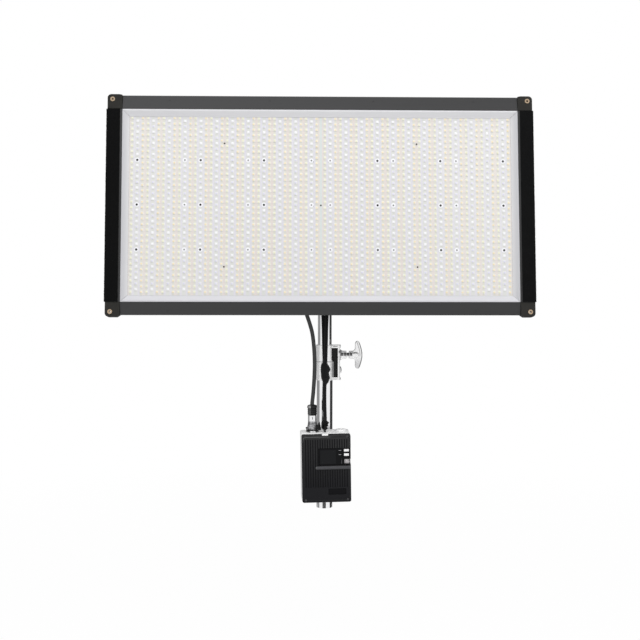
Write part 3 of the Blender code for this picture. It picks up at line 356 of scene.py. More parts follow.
def socketMetal():  # flange with a black gasket at both sides, left pale in its middle as a painted highlight
    f = Finish("socketMetal")
    grain = f.noise(800, 2)
    x, _, _ = f.axes(boxPose)
    gasketBesideHighlight = f.band(f.size(x - boxMarks["socketAt"]), *boxMarks["gasketBesideHighlight"])
    return f.dress(colour=f.mix(gasketBesideHighlight, (0.80, 0.80, 0.81), (0.035, 0.035, 0.036)), metal=0.4,
                   rough=0.34 + grain * 0.1)


def brassTurned():
    f = Finish("brassTurned")
    tarnish = f.noise(420, 3)
    return f.dress(colour=f.mix(tarnish, (0.42, 0.31, 0.20), (0.56, 0.44, 0.32)), metal=0.8,
                   rough=0.30 + tarnish * 0.16, normal=f.bump(f.noise(2600), 0.08, 0.0001))


# black metal and mouldings
def anodisedRail():
    f = Finish("anodisedRail")
    drawn = f.noise(90, 4, (0.02, 1, 1))
    grain = f.noise(1900, 2)
    x, _, z = f.axes()
    # painted light: the rails darker towards the right, and the bottom rail darker still as a painted shade
    right = f.band(x, *panelMarks["rail"])
    low = 1 - f.band(z, *panelMarks["railZ"])
    colour = f.mix(right, (0.043, 0.043, 0.0445), (0.030, 0.030, 0.031))
    colour = f.mix(low * 0.7, colour, (0.017, 0.017, 0.0175))
    return f.dress(colour=f.mix(drawn * 0.3, colour, (0.048, 0.048, 0.050)), metal=0.15,
                   rough=0.40 + grain * 0.12, normal=f.bump(grain * 0.7 + drawn * 0.6, 0.10, 0.0002))


def coverMoulding():
    f = Finish("coverMoulding")
    grain = f.noise(1800, 3)
    cloud = f.noise(24, 3)
    x, y, z = f.axes(boxPose)
    sunk = f.band(y, *boxMarks["sunkY"])  # grooves and the screen's pocket, painted darker as shade
    proud = 1 - f.band(y, *boxMarks["proudY"])  # the guard bar, painted lighter with a brighter left end, a painted highlight
    # painted light: the top lighter, a strip along its top edge lighter still, and brighter towards the right
    high = f.band(z, *boxMarks["highZ"])
    litBrow = f.band(z, *boxMarks["browZ"])
    face = f.mix(cloud, (0.0095, 0.0095, 0.0112), (0.0120, 0.0120, 0.0140))
    face = f.mix(high, face, (0.0245, 0.0245, 0.0255))
    face = f.mix(high * f.band(x, *boxMarks["bright"]) * 0.5, face, (0.040, 0.040, 0.041))
    face = f.mix(litBrow, face, (0.031, 0.031, 0.032))
    face = f.mix(sunk, face, (0.0048, 0.0048, 0.0058))
    bar = f.mix(f.band(x, *boxMarks["barEnd"]), (0.125, 0.125, 0.130), (0.072, 0.072, 0.078))
    return f.dress(colour=f.mix(proud, face, bar), rough=0.50 + grain * 0.16,
                   level=0.14, normal=f.bump(grain, 0.2, 0.0003))


def bootRubber():  # a painted highlight along its left shoulder, brightest near the top
    f = Finish("bootRubber")
    grain = f.noise(800, 3)
    x, _, z = f.axes(boxPose)
    paintedGleam = f.within(x, *boxMarks["paintedGleam"]) * (0.25 + f.within(z, *boxMarks["paintedGleamZ"]) * 0.75)
    colour = f.mix(grain, (0.006, 0.006, 0.0065), (0.012, 0.012, 0.0125))
    return f.dress(colour=f.mix(paintedGleam, colour, (0.34, 0.34, 0.34)), rough=0.46 + grain * 0.16, level=0.3)


def braidedCord():
    f = Finish("braidedCord")
    fibre = f.noise(2400, 2, (1, 1, 0.4))
    mottle = f.noise(70, 3)
    return f.dress(colour=f.mix(mottle, (0.0045, 0.0045, 0.005), (0.010, 0.010, 0.0105)),
                   rough=0.80 + fibre * 0.15, level=0.2, sheen=0.15, normal=f.bump(fibre, 0.5, 0.0004))


def loopFabric():
    f = Finish("loopFabric")
    curl = f.noise(1300, 4, distortion=1.5)
    patch = f.noise(55, 3)
    x, _, _ = f.axes()
    right = f.band(x, *panelMarks["rightStrip"])
    # paler flecks in the loops, more of them on the right strip
    paleFleck = patch * curl * (0.20 + right * 0.65)
    return f.dress(colour=f.mix(paleFleck, (0.0016, 0.0017, 0.0018), (0.0080, 0.0080, 0.0082)),
                   rough=0.92 + curl * 0.06, level=0.12, sheen=0.10, normal=f.bump(curl, 0.8, 0.0006))


# white and pale
def shadedReflectorEnd():  # darker than the top strip, a painted shade, and paler towards the lights, a painted reflection of them
    f = Finish("shadedReflectorEnd")
    grain = f.noise(1600, 2)
    x, _, _ = f.axes()
    inward = 1 - f.band(f.size(x - panelMiddle), *panelMarks["inward"])
    return f.dress(colour=f.mix(inward, (0.555, 0.555, 0.580), (0.690, 0.690, 0.705)),
                   rough=0.45 + grain * 0.15, level=0.3, normal=f.bump(grain, 0.05, 0.0001))


boardTint = [  # from the middle of a unit of three columns to its edge
    (0, (0.685, 0.700, 0.665)), (0.20, (0.690, 0.695, 0.685)), (0.36, (0.715, 0.695, 0.795)),
    (0.52, (0.700, 0.695, 0.690)), (0.68, (0.705, 0.695, 0.590)), (0.84, (0.730, 0.690, 0.640)),
    (1, (0.755, 0.680, 0.655)),
]


def boardMask():
    f = Finish("boardMask")
    x, _, _ = f.axes()
    out = f.size(x - panelMiddle)
    unit = (out - lights["gap"] / 2) * (1 / (3 * lights["pitchX"]))
    part = f.node("ShaderNodeMath", {"operation": "FRACT"}, {0: unit})
    edge = f.size(part - 0.5) * 2
    tint = f.node("ShaderNodeValToRGB", {"stops": boardTint}, {0: edge})
    cloud = f.noise(11, 3)
    ends = f.band(out, *panelMarks["ends"])  # paler there
    base = f.mix(cloud * 0.3, tint, (0.74, 0.735, 0.715))
    return f.dress(colour=f.mix(ends * 0.22, base, (0.86, 0.855, 0.83)), rough=0.48 + cloud * 0.1, level=0.3)


def phosphor(name, dark, bright):
    f = Finish(name)
    spread = f.noise(140, 2)
    speck = f.noise(2200, 2)
    return f.dress(colour=f.mix(spread * 0.7 + speck * 0.3, dark, bright), rough=0.22 + speck * 0.14,
                   level=0.5)


def knurledGrey():
    f = Finish("knurledGrey")
    grain = f.noise(700, 3)
    x, _, _ = f.axes(boxPose)
    # the wheel's middle painted lighter, a painted highlight
    middle = f.within(x, *boxMarks["wheel"]) * 0.6
    return f.dress(colour=f.mix(middle + grain * 0.2, (0.34, 0.325, 0.33), (0.56, 0.54, 0.545)), metal=0.3,
                   rough=0.34 + grain * 0.16)


def screenGlass():
    f = Finish("screenGlass")
    smear = f.noise(60, 4)
    x, _, z = f.axes(boxPose)
    lit = f.within(x, *boxMarks["screen"]) * f.within(z, *boxMarks["screenZ"])
    return f.dress(colour=f.mix(lit, (0.0040, 0.0040, 0.0050), (0.0095, 0.0100, 0.0112)),
                   rough=0.16 + smear * 0.10, level=0.10)


def circuitGreen():
    f = Finish("circuitGreen")
    tracks = f.band(f.noise(240, 2, (0.1, 1, 1)), 0.48, 0.6)
    return f.dress(colour=f.mix(tracks, (0.012, 0.075, 0.035), (0.05, 0.18, 0.09)), rough=0.4 + tracks * 0.15)


def trimGrey():  # a painted highlight on the bead in one corner only
    f = Finish("trimGrey")
    cloud = f.noise(700, 2)
    x, _, z = f.axes(boxPose)
    corner = f.band(z, *boxMarks["cornerZ"]) * (1 - f.band(x, *boxMarks["corner"]))
    # the ramp painted lighter, a painted light on its sloping face
    ramp = f.within(x, *boxMarks["ramp"]) * f.within(z, *boxMarks["rampZ"])
    colour = f.mix(corner, (0.017, 0.017, 0.018), (0.120, 0.120, 0.122))
    return f.dress(colour=f.mix(ramp, colour, (0.052, 0.052, 0.056)), rough=0.5 + cloud * 0.1, level=0.2)


smoothPaint = {
    "grain": (1600, 2), "rough": (0.45, 0.15), "cloud": (6, 3), "bump": (0.05, 0.0001), "level": 0.3,
}
looks = {
    "chrome": chromePlate(), "cast": castChrome(), "plug": plugChrome(), "socket": socketMetal(),
    "brass": brassTurned(), "rail": anodisedRail(), "cover": coverMoulding(), "boot": bootRubber(),
    "rope": braidedCord(), "loop": loopFabric(), "shadedReflectorSide": shadedReflectorEnd(), "board": boardMask(),
    "wheel": knurledGrey(), "glass": screenGlass(), "circuit": circuitGreen(), "trim": trimGrey(),
    "cool": phosphor("coolPhosphor", (0.78, 0.77, 0.56), (0.90, 0.89, 0.72)),
    "warm": phosphor("warmPhosphor", (0.84, 0.71, 0.47), (0.94, 0.85, 0.65)),
    "clear": phosphor("clearLens", (0.86, 0.86, 0.90), (0.96, 0.96, 0.98)),
    "strip": phosphor("middleStrip", (0.64, 0.68, 0.67), (0.70, 0.74, 0.73)),
    "mixed": phosphor("colourLens", (0.70, 0.69, 0.80), (0.80, 0.79, 0.88)),
    "reflector": plainFinish("reflectorPaint", (0.73, 0.73, 0.76), (0.785, 0.785, 0.805), **smoothPaint),
    # the bottom strip's copy of the reflector paint is darker, a painted shade
    "shadedReflectorLow": plainFinish("shadedReflectorLow", (0.60, 0.60, 0.635), (0.65, 0.65, 0.675), **smoothPaint),
    "screw": plainFinish("coverScrew", (0.070, 0.070, 0.072), (0.110, 0.110, 0.112), **smoothPaint),
    "darkSteel": plainFinish("darkSteel", (0.030, 0.030, 0.031), (0.060, 0.060, 0.062),
                             grain=(900, 3), rough=(0.32, 0.16), metal=0.7),
    "zinc": plainFinish("zincSteel", (0.42, 0.42, 0.43), (0.60, 0.60, 0.61),
                        grain=(900, 3), rough=(0.28, 0.2), metal=1.0),
    "corner": plainFinish("cornerMoulding", (0.013, 0.0125, 0.0108), (0.022, 0.021, 0.0185),
                          grain=(1500, 3), rough=(0.46, 0.18), cloud=(46, 4), bump=(0.22, 0.0003),
                          level=0.25),
    "casting": plainFinish("headCasting", (0.018, 0.018, 0.019), (0.034, 0.034, 0.035),
                           grain=(1100, 4), rough=(0.42, 0.2), bump=(0.3, 0.0003), level=0.4),
    "sheet": plainFinish("backSheet", (0.026, 0.026, 0.027), (0.038, 0.038, 0.039),
                         grain=(1400, 3), rough=(0.5, 0.2), cloud=(9, 3), bump=(0.2, 0.0002), metal=0.1),
    "paint": plainFinish("blackPaint", (0.0040, 0.0040, 0.0044), (0.0080, 0.0080, 0.0085),
                         grain=(900, 3), rough=(0.42, 0.2), bump=(0.2, 0.0003), level=0.25),
    "rubber": plainFinish("softRubber", (0.008, 0.008, 0.0085), (0.014, 0.014, 0.0145),
                          grain=(800, 3), rough=(0.56, 0.18), bump=(0.15, 0.0003), level=0.3),
    "cable": plainFinish("cableJacket", (0.020, 0.021, 0.021), (0.034, 0.035, 0.035),
                         grain=(520, 3), rough=(0.44, 0.14), bump=(0.12, 0.0003), level=0.5),
    "body": plainFinish("lightBody", (0.76, 0.76, 0.75), (0.83, 0.83, 0.82),
                        grain=(70, 2), rough=(0.4, 0.1), level=0.35),
    "chassis": plainFinish("paleChassis", (0.96, 0.96, 0.965), (0.99, 0.99, 0.99),
                           grain=(1500, 3), rough=(0.36, 0.16), cloud=(20, 3), bump=(0.08, 0.0002)),
    "key": plainFinish("whiteKeycap", (0.93, 0.93, 0.93), (0.97, 0.97, 0.97),
                       grain=(1300, 3), rough=(0.38, 0.12)),
    "ink": plainFinish("legendInk", (0.34, 0.34, 0.35), (0.50, 0.50, 0.51),
                       grain=(900, 2), rough=(0.55, 0.1)),
}
print("finishes made:", len(looks))


# carried-over CAD nodes: joined corners shade smoothly, hard edges stay hard
nodeLooks = {
    "chrome": ["lower_tube", "riser_tube", "pivot_bolt"],
    "cast": ["collar_casting", "guide_bolt", "t_handle", "receiver"],
    "plug": ["cable_plug"],
    "brass": ["insert_top_left", "insert_top_right", "insert_bottom_left", "insert_bottom_right"],
    "rail": ["top_rail", "bottom_rail", "left_rail", "right_rail"],
    "corner": ["corner_top_left", "corner_top_right", "corner_bottom_left", "corner_bottom_right"],
    "casting": ["tilt_yoke", "tilt_lever", "pan_knob", "panel_bracket", "junction_box"],
    "sheet": ["back_panel"],
    "cover": ["front_cover"],
    "paint": ["lanyard_eye", "snap_hook", "hook_gate", "latch_lever"],
    "rubber": ["clamp_shoe", "cable_gland"],
    "boot": ["cable_boot"],
    "reflector": ["reflector_top"],
    # the side and bottom strips take darker copies of the top strip's paint, a painted shade
    "shadedReflectorSide": ["reflector_left", "reflector_right"],
    "shadedReflectorLow": ["reflector_bottom"],
    "board": [f"led_board_{i}" for i in range(1, lights["boards"] + 1)],
    "chassis": ["box_chassis", "power_inlet"],
    "socket": ["head_socket"],
    "key": ["menu_key", "mode_key"],
    "wheel": ["encoder_wheel"],
    "glass": ["display_window", "blank_badge"],
    "circuit": ["driver_board"],
}
shading = {"weld": 0.000005, "nodeAngle": math.radians(34), "pieceAngle": math.radians(40)}


def dressNode(name, finish):
    node = nodes[name]
    node.data.materials.clear()
    node.data.materials.append(finish.material)
    node.data.polygons.foreach_set("use_smooth", [True] * len(node.data.polygons))
    if "custom_normal" in node.data.attributes:
        node.data.attributes.remove(node.data.attributes["custom_normal"])
    weld = node.modifiers.new("weld", "WELD")
    weld.merge_threshold = shading["weld"]
    split = node.modifiers.new("hardEdges", "EDGE_SPLIT")
    split.split_angle = shading["nodeAngle"]


for look, members in nodeLooks.items():
    for member in members:
        dressNode(member, looks[look])
print("CAD nodes dressed:", sum(len(members) for members in nodeLooks.values()))


# a mesh being drawn: points, faces and the finish of each face
class Shape:
    def __init__(self):
        self.points, self.faces, self.marks = [], [], []

    def add(self, points, faces, mark=0, frame=Matrix.Identity(4)):
        start = len(self.points)
        self.points += [frame @ Vector(p) for p in points]
        self.faces += [tuple(start + i for i in face) for face in faces]
        self.marks += [mark] * len(faces)

    def turned(self, profile, steps, frame, mark=0):  # (radius, height) pairs, round the frame's z
        points, faces, rings = [], [], []
        angles = [2 * math.pi * i / steps for i in range(steps)]
        for radius, height in profile:
            if radius < 1e-7:
                rings.append([len(points)] * steps)
                points.append((0, 0, height))
            else:
                rings.append(list(range(len(points), len(points) + steps)))
                points += [(radius * math.cos(a), radius * math.sin(a), height) for a in angles]
        for low, high in zip(rings, rings[1:]):
            for i in range(steps):
                j = (i + 1) % steps
                corners = [low[i], low[j], high[j], high[i]]
                faces.append(tuple(dict.fromkeys(corners)))
        self.add(points, faces, mark, frame)

    def swept(self, route, sides, reach, mark=0, capped=True):  # reach(i, angle) is the radius at a station
        last = len(route) - 1
        forward = [(route[min(i + 1, last)] - route[max(i - 1, 0)]).normalized() for i in range(len(route))]
        side = forward[0].orthogonal().normalized()
        points = []
        for i, (spot, ahead) in enumerate(zip(route, forward)):
            side = (side - ahead * side.dot(ahead)).normalized()
            other = ahead.cross(side)
            for k in range(sides):
                angle = 2 * math.pi * k / sides
                points.append(spot + (side * math.cos(angle) + other * math.sin(angle)) * reach(i, angle))
        self.skin(points, sides, mark, capped)

    def skin(self, points, sides, mark=0, capped=True):  # rings of points, one after the other
        faces = []
        for start in range(0, len(points) - sides, sides):
            for k in range(sides):
                j = (k + 1) % sides
                faces.append((start + k, start + j, start + sides + j, start + sides + k))
        if capped:
            faces.append(tuple(reversed(range(sides))))
            faces.append(tuple(range(len(points) - sides, len(points))))
        self.add(points, faces, mark)

    def slab(self, outline, low, high, frame, mark=0, inset=0.0):  # an outline in x and y, raised along z
        count = len(outline)
        middle = Vector((sum(p[0] for p in outline) / count, sum(p[1] for p in outline) / count, 0))
        top = []
        for x, y in outline:
            out = Vector((x, y, 0)) - middle
            top.append(middle + out * (1 - inset / max(out.length, 1e-6)))
        points = [(x, y, low) for x, y in outline] + [(p.x, p.y, high) for p in top]
        faces = [(i, (i + 1) % count, count + (i + 1) % count, count + i) for i in range(count)]
        faces += [tuple(range(count, 2 * count)), tuple(reversed(range(count)))]
        self.add(points, faces, mark, frame)

    def piece(self, name, finishes, smooth=True):
        data = bpy.data.meshes.new(name)
        data.from_pydata(self.points, [], self.faces)
        for finish in finishes:
            data.materials.append(finish.material)
        data.polygons.foreach_set("material_index", self.marks)
        data.polygons.foreach_set("use_smooth", [smooth] * len(self.faces))
        if smooth:
            data.set_sharp_from_angle(angle=shading["pieceAngle"])
        data.update()
        made = bpy.data.objects.new(name, data)
        scene.collection.objects.link(made)
        return made


def rectangle(left, right, low, high):
    return [(left, low), (right, low), (right, high), (left, high)]


def grid(columns, levels):
    return [(x, z) for x in columns for z in levels]


def ballRings(radius, angles, height=0.0):  # the profile of a ball without its poles
    turns = [math.radians(angle) for angle in angles]
    return [(radius * math.cos(turn), height + radius * math.sin(turn)) for turn in turns]


def smoothRoute(points, perSpan):  # the curve that runs through every given point
    given = [Vector(p) for p in points]
    ends = [2 * given[0] - given[1], *given, 2 * given[-1] - given[-2]]
    route = []
    for a, b, c, d in zip(ends, ends[1:], ends[2:], ends[3:]):
        for i in range(perSpan):
            t = i / perSpan
            spot = 2 * b + (c - a) * t
            spot += (2 * a - 5 * b + 4 * c - d) * t**2
            spot += (3 * b - a - 3 * c + d) * t**3
            route.append(0.5 * spot)
    return route + [given[-1]]


def evenRoute(points, step):  # the same curve at even steps
    fine = smoothRoute(points, perSpan=24)
    runs = [0.0]
    for a, b in zip(fine, fine[1:]):
        runs.append(runs[-1] + (b - a).length)
    count = max(4, round(runs[-1] / step))
    route, at = [], 0
    for i in range(count + 1):
        target = runs[-1] * i / count
        while at < len(runs) - 2 and runs[at + 1] < target:
            at += 1
        share = (target - runs[at]) / max(runs[at + 1] - runs[at], 1e-9)
        route.append(fine[at].lerp(fine[at + 1], min(1, share)))
    return route, runs[-1]


# head cable: from the gland behind the panel down to the boot on the plug
headCable = {
    "diameter": 0.009, "sides": 20, "step": 0.004, "full": 1.08, "ripple": 0.006, "rippleTurn": 0.9,
    "bend": (9, 1),  # points of the route between which it turns with the tilt
    "route": [
        (-.0605, -.1001, .5870), (-.0605, -.1014, .5778), (-.0604, -.1025, .5660), (-.0600, -.1024, .5480),
        (-.0538, -.0990, .5220), (-.0438, -.0930, .4950), (-.0336, -.0850, .4600), (-.0288, -.0770, .4220),
        (-.0269, -.0700, .3820), (-.0279, -.0646, .3420), (-.0301, -.0616, .3080), (-.0317, -.0608, .2920),
        (-.0326, -.0603, .2838), (-.0328, -.0602, .2778),
    ],
}


def makeHeadCable():
    given = headCable["route"]
    route, length = evenRoute(given, headCable["step"])
    radius = headCable["diameter"] / 2

    def reach(i, angle):
        return radius * (headCable["full"] + headCable["ripple"] * math.sin(headCable["rippleTurn"] * i))

    shape = Shape()
    shape.swept(route, headCable["sides"], reach)
    cable = shape.piece("headCable", [looks["cable"]])
    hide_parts("head_cable")
    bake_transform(cable)
    return length


# lanyard: plaited cord doubled over the neck of the head, a wrapped knot and a single tail
lanyard = {
    "diameter": 0.009, "sides": 28, "step": 0.00075, "full": 1.04,
    "plait": 0.0085, "strands": 8, "depth": 0.055,
    "loop": [
        (-.0020, -.0466, .3818), (-.0027, -.0440, .4050), (-.0035, -.0420, .4300), (-.0039, -.0402, .4500),
        (-.0046, -.0388, .4750), (-.0056, -.0384, .5000), (-.0082, -.0356, .5500), (-.0108, -.0318, .6000),
        (-.0146, -.0276, .6450), (-.0180, -.0218, .6770), (-.0197, -.0110, .6890), (-.0194, .0040, .6915),
        (-.0130, .0148, .6920), (0, .0197, .6922), (.0130, .0148, .6920), (.0194, .0040, .6915),
        (.0197, -.0110, .6890), (.0180, -.0218, .6770), (.0146, -.0276, .6450), (.0100, -.0318, .6000),
        (.0066, -.0364, .5500), (.0044, -.0412, .5000), (.0031, -.0462, .4750), (.0024, -.0486, .4500),
        (.0019, -.0508, .4300), (.0011, -.0530, .4050), (.0006, -.0556, .3818),
    ],
    "tail": [
        (-.0014, -.0552, .3259), (-.0017, -.0574, .3000), (-.0014, -.0604, .2700), (-.0009, -.0634, .2520),
        (-.0010, -.0652, .2410),
    ],
    "knotLow": (-.0014, -.0552, .3262), "knotHigh": (-.0008, -.0510, .3815),
    "knotSides": 44, "knotDeep": 0.0112, "wrap": 0.0052, "wrapDepth": 0.03, "wrapLean": 1.3,
    "knot": [  # height, middle and half width
        (.3232, -.0016, .0040), (.3262, -.0013, .0046), (.3290, -.0006, .0056), (.3334, .0009, .0074),
        (.3384, .0007, .0091), (.3435, .0009, .0111), (.3485, .0001, .0107), (.3561, -.0009, .0104),
        (.3620, .0001, .0118), (.3661, .0006, .0123), (.3737, -.0010, .0103), (.3800, -.0018, .0072),
        (.3826, -.0010, .0046),
    ],
}


def plaitReach(step):
    radius, depth = lanyard["diameter"] / 2, lanyard["depth"]

    def reach(i, angle):
        run = i * step / lanyard["plait"]
        turns = lanyard["strands"] * angle / (2 * math.pi) / 2
        weave = math.sin(2 * math.pi * (turns + run)) * math.sin(2 * math.pi * (turns - run))
        return radius * (lanyard["full"] + depth * weave)

    return reach


def makeRope(name, points, node):
    route, length = evenRoute(points, lanyard["step"])
    shape = Shape()
    shape.swept(route, lanyard["sides"], plaitReach(length / (len(route) - 1)))
    rope = shape.piece(name, [looks["rope"]])
    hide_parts(node)
    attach(rope, "head")
    return rope, route, length


def makeKnot():
    low, high = Vector(lanyard["knotLow"]), Vector(lanyard["knotHigh"])
    sides = lanyard["knotSides"]
    points = []
    for z, middle, half in smoothRoute(lanyard["knot"], perSpan=6):
        depth = low.lerp(high, (z - low.z) / (high.z - low.z)).y
        for k in range(sides):
            angle = 2 * math.pi * k / sides
            turn = 2 * math.pi * z / lanyard["wrap"] + lanyard["wrapLean"] * math.sin(angle)
            reach = half * (1 + lanyard["wrapDepth"] * math.cos(turn))
            deep = min(reach, lanyard["knotDeep"])
            points.append((middle + reach * math.cos(angle), depth + deep * math.sin(angle), z))
    shape = Shape()
    shape.skin(points, sides)
    knot = shape.piece("lanyardKnot", [looks["rope"]])
    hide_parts("lanyard_knot")
    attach(knot, "head")
    return knot


cableLength = makeHeadCable()
knot = makeKnot()
loop, loopRoute, loopLength = makeRope("lanyardLoop", lanyard["loop"], "lanyard_loop")
tail, tailRoute, tailLength = makeRope("lanyardTail", lanyard["tail"], "lanyard_tail")
print("cords made, lengths", round(cableLength, 3), round(loopLength, 3), round(tailLength, 3))


# the hook's closed body, the sleeve on its ring and the round end of its nose
hookTrim = {
    "body": [
        (-.0065, .0146), (-.0062, .0230), (-.0051, .0289), (.0034, .0280), (.0072, .0225), (.0070, .0150),
        (.0055, .0110), (.0024, .0030), (-.0016, .0030), (-.0040, .0080),
    ],
    "behind": 0.0044, "thick": 0.0012,
    "sleeve": [(-.0009, -.0642, .2470), (-.0010, -.0650, .2424), (-.0010, -.0656, .2384)],
    "sleeveRadius": 0.0050, "sleeveSides": 20, "sleeveStep": 0.001,
    "nose": (.0078, .0004, .0224), "noseRadius": 0.0027, "noseSides": 16,
}


def makeHook():
    shape = Shape()
    back = boxFrame @ Matrix.Translation((0, hookTrim["behind"], 0)) @ toFront
    shape.slab(hookTrim["body"], 0, hookTrim["thick"], back)
    route, _ = evenRoute(hookTrim["sleeve"], hookTrim["sleeveStep"])
    shape.swept(route, hookTrim["sleeveSides"], lambda i, angle: hookTrim["sleeveRadius"])
    r = hookTrim["noseRadius"]
    rings = ballRings(r, (-60, -30, 0, 30, 60))
    nose = boxFrame @ Matrix.Translation(hookTrim["nose"])
    shape.turned([(0, -r), *rings, (0, r)], hookTrim["noseSides"], nose)
    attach(shape.piece("hookBody", [looks["paint"]]), "head")


# black sheet at the back of the clamp's window, behind the shoe, that darkens the window as a painted shade
windowShadeSheet = {"x": (0.0224, 0.0326), "z": (0.3400, 0.4154), "behind": 0.0109, "thick": 0.0006}


def makeWindowShadeSheet():
    shape = Shape()
    outline = rectangle(*windowShadeSheet["x"], *windowShadeSheet["z"])
    back = Matrix.Translation((0, windowShadeSheet["behind"], 0)) @ toFront
    shape.slab(outline, 0, windowShadeSheet["thick"], back)
    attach(shape.piece("windowShadeSheet", [looks["paint"]]), "post")


makeHook()
makeWindowShadeSheet()
print("hook and window back made")


# lights on the six boards
def addLight(shape, x, z, mark, size=1.0):
    half, rise = lights["bodyHalf"] * size, lights["bodyHeight"]
    spot = panelFrame @ Matrix.Translation((x, lights["face"], z)) @ toFront
    inset = half - lights["bodySlope"]
    body = [(x, y, 0) for x, y in rectangle(-half, half, -half, half)]
    body += [(x, y, rise) for x, y in rectangle(-inset, inset, -inset, inset)]
    shape.add(body, [(0, 1, 5, 4), (1, 2, 6, 5), (2, 3, 7, 6), (3, 0, 4, 7), (4, 5, 6, 7)], 0, spot)
    radius = lights["lensRadius"] * size
    top = rise + lights["lensHeight"]
    lens = [(radius, rise - 0.0001), (radius * 0.94, rise + 0.0004), (radius * 0.55, top - 0.0001), (0, top)]
    shape.turned(lens, lights["lensSides"], spot, mark)


def boardLeft(index):
    half = math.copysign(lights["gap"] / 2, index - (lights["boards"] - 1) / 2)
    return panelMiddle + half + (index - lights["boards"] / 2) * lights["boardWidth"]


def columnAt(index, column):
    return boardLeft(index) + (column + 0.5) * lights["pitchX"]


def screwTakes(column, z):
    return column in lights["screwColumns"] and any(
        abs(z - level) < lights["screwRoom"] for level in lights["screwLevels"])


def makeLights():
    columns = round(lights["boardWidth"] / lights["pitchX"])
    finishes = [looks[look] for look in ("body", "cool", "warm", "clear", "mixed")]
    total = 0
    for index in range(lights["boards"]):
        shape = Shape()
        for column in range(columns):
            x = columnAt(index, column)
            kind = column % 3
            offset = 0.5 if kind == 1 else 0  # the middle column stands half a row lower
            for row in range(lights["rows"] - (kind == 1)):
                z = lights["rise"] + (lights["rows"] / 2 - 0.5 - row - offset) * lights["pitchZ"]
                if screwTakes(column, z):
                    continue
                mark = (1, 3 if row % 2 == 0 else 4, 2)[kind]
                addLight(shape, x, z, mark, 1.0 if kind != 1 or row % 2 else lights["wideLens"])
                total += 1
        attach(shape.piece(f"lightPackages_{index + 1}", finishes), "panel")
    return total


# pale filler over the joints of the boards, the wider strip between the two halves, small open holes
seams = {
    "pitch": 0.155833, "half": 0.0007, "high": 0.2194, "sunk": -0.0002, "rise": 0.0002,
    "stripGap": 0.0004, "stripRise": 0.0004,
    "hole": [(0.0021, 0.0001), (0.0021, 0.0005), (0.0012, 0.0006), (0, 0.0006)], "holeSides": 14,
    "middleHole": 0.0012, "holeBoards": (1, 4), "holeLevels": (-0.1500, 0.1540),
}


def makeSeams():
    shape = Shape()
    face = panelFrame @ Matrix.Translation((0, lights["face"], 0)) @ toFront
    high = seams["high"]
    for step in (-2, -1, 1, 2):
        x = panelMiddle + step * seams["pitch"]
        outline = rectangle(x - seams["half"], x + seams["half"], -high, high)
        shape.slab(outline, seams["sunk"], seams["rise"], face)
    half = lights["gap"] / 2 - seams["stripGap"]
    outline = rectangle(panelMiddle - half, panelMiddle + half, -high, high)
    shape.slab(outline, seams["sunk"], seams["stripRise"], face, 1)
    middles = [boardLeft(index) + lights["boardWidth"] / 2 for index in seams["holeBoards"]]
    for x, z in [(panelMiddle, seams["middleHole"]), *grid(middles, seams["holeLevels"])]:
        spot = panelFrame @ Matrix.Translation((x, lights["face"], z)) @ toFront
        shape.turned(seams["hole"], seams["holeSides"], spot, 2)
    finishes = [looks["board"], looks["strip"], looks["darkSteel"]]
    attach(shape.piece("boardSeams", finishes, smooth=False), "panel")


print("light packages:", makeLights())
makeSeams()


# screws of the boards, rails, box and bracket
firstColumn, lastColumn = lights["screwColumns"]
halfCount = lights["boards"] // 2
leftBoards, rightBoards = range(halfCount), range(halfCount, lights["boards"])
outerColumns = [columnAt(i, firstColumn) for i in leftBoards] + [columnAt(i, lastColumn) for i in rightBoards]
innerColumns = [columnAt(i, lastColumn) for i in leftBoards] + [columnAt(i, firstColumn) for i in rightBoards]
screwPlaces = {
    "boardScrews": {
        "body": "panel", "frame": panelFrame, "turn": toFront, "radius": 0.0027, "rise": 0.0013,
        "y": lights["face"], "pad": 0.0058, "spots": grid(outerColumns, lights["screwLevels"]),
        "finish": "darkSteel", "slot": "chrome",
    },
    "boardPins": {
        "body": "panel", "frame": panelFrame, "turn": toFront, "radius": 0.0022, "rise": 0.0012,
        "y": lights["face"], "pad": 0.0056, "spots": grid(innerColumns, lights["screwLevels"]),
        "finish": "zinc", "slot": "chrome",
    },
    "railScrews": {
        "body": "panel", "frame": panelFrame, "turn": toFront, "radius": 0.0022, "rise": 0.0005,
        "y": -0.1051, "lean": -7.9,
        "spots": [(x, z) for z in (0.2575, -0.2575) for x in (-0.3820, -0.1380, 0.1160, 0.3610)],
        "finish": "darkSteel", "slot": "black_anodised",
    },
    "coverScrews": {
        "body": "head", "frame": boxFrame, "turn": toFront, "radius": 0.0024, "rise": 0.0009,
        "y": -0.040, "spots": grid((-0.0520, 0.0520), (-0.0066, -0.1634)),
        "finish": "screw", "slot": "black_moulding",
    },
    "bracketScrews": {
        "body": "panel", "frame": panelFrame, "turn": toBack, "radius": 0.0048, "rise": 0.0030,
        "y": -0.0817, "spots": grid((-0.052, 0.052), (-0.043, 0.043)),
        "finish": "darkSteel", "slot": "black_moulding",
    },
    "junctionScrews": {
        "body": "panel", "frame": panelFrame, "turn": toBack, "radius": 0.0026, "rise": 0.0012,
        "y": -0.064, "spots": grid((-0.0905, -0.0305), (-0.151, -0.107)),
        "finish": "darkSteel", "slot": "black_moulding",
    },
    "chassisScrews": {
        "body": "head", "frame": boxFrame, "turn": toBack, "radius": 0.0026, "rise": 0.0010,
        "y": 0.040, "spots": grid((-0.052, 0.052), (-0.008, -0.162)),
        "finish": "zinc", "slot": "light_grey",
    },
}


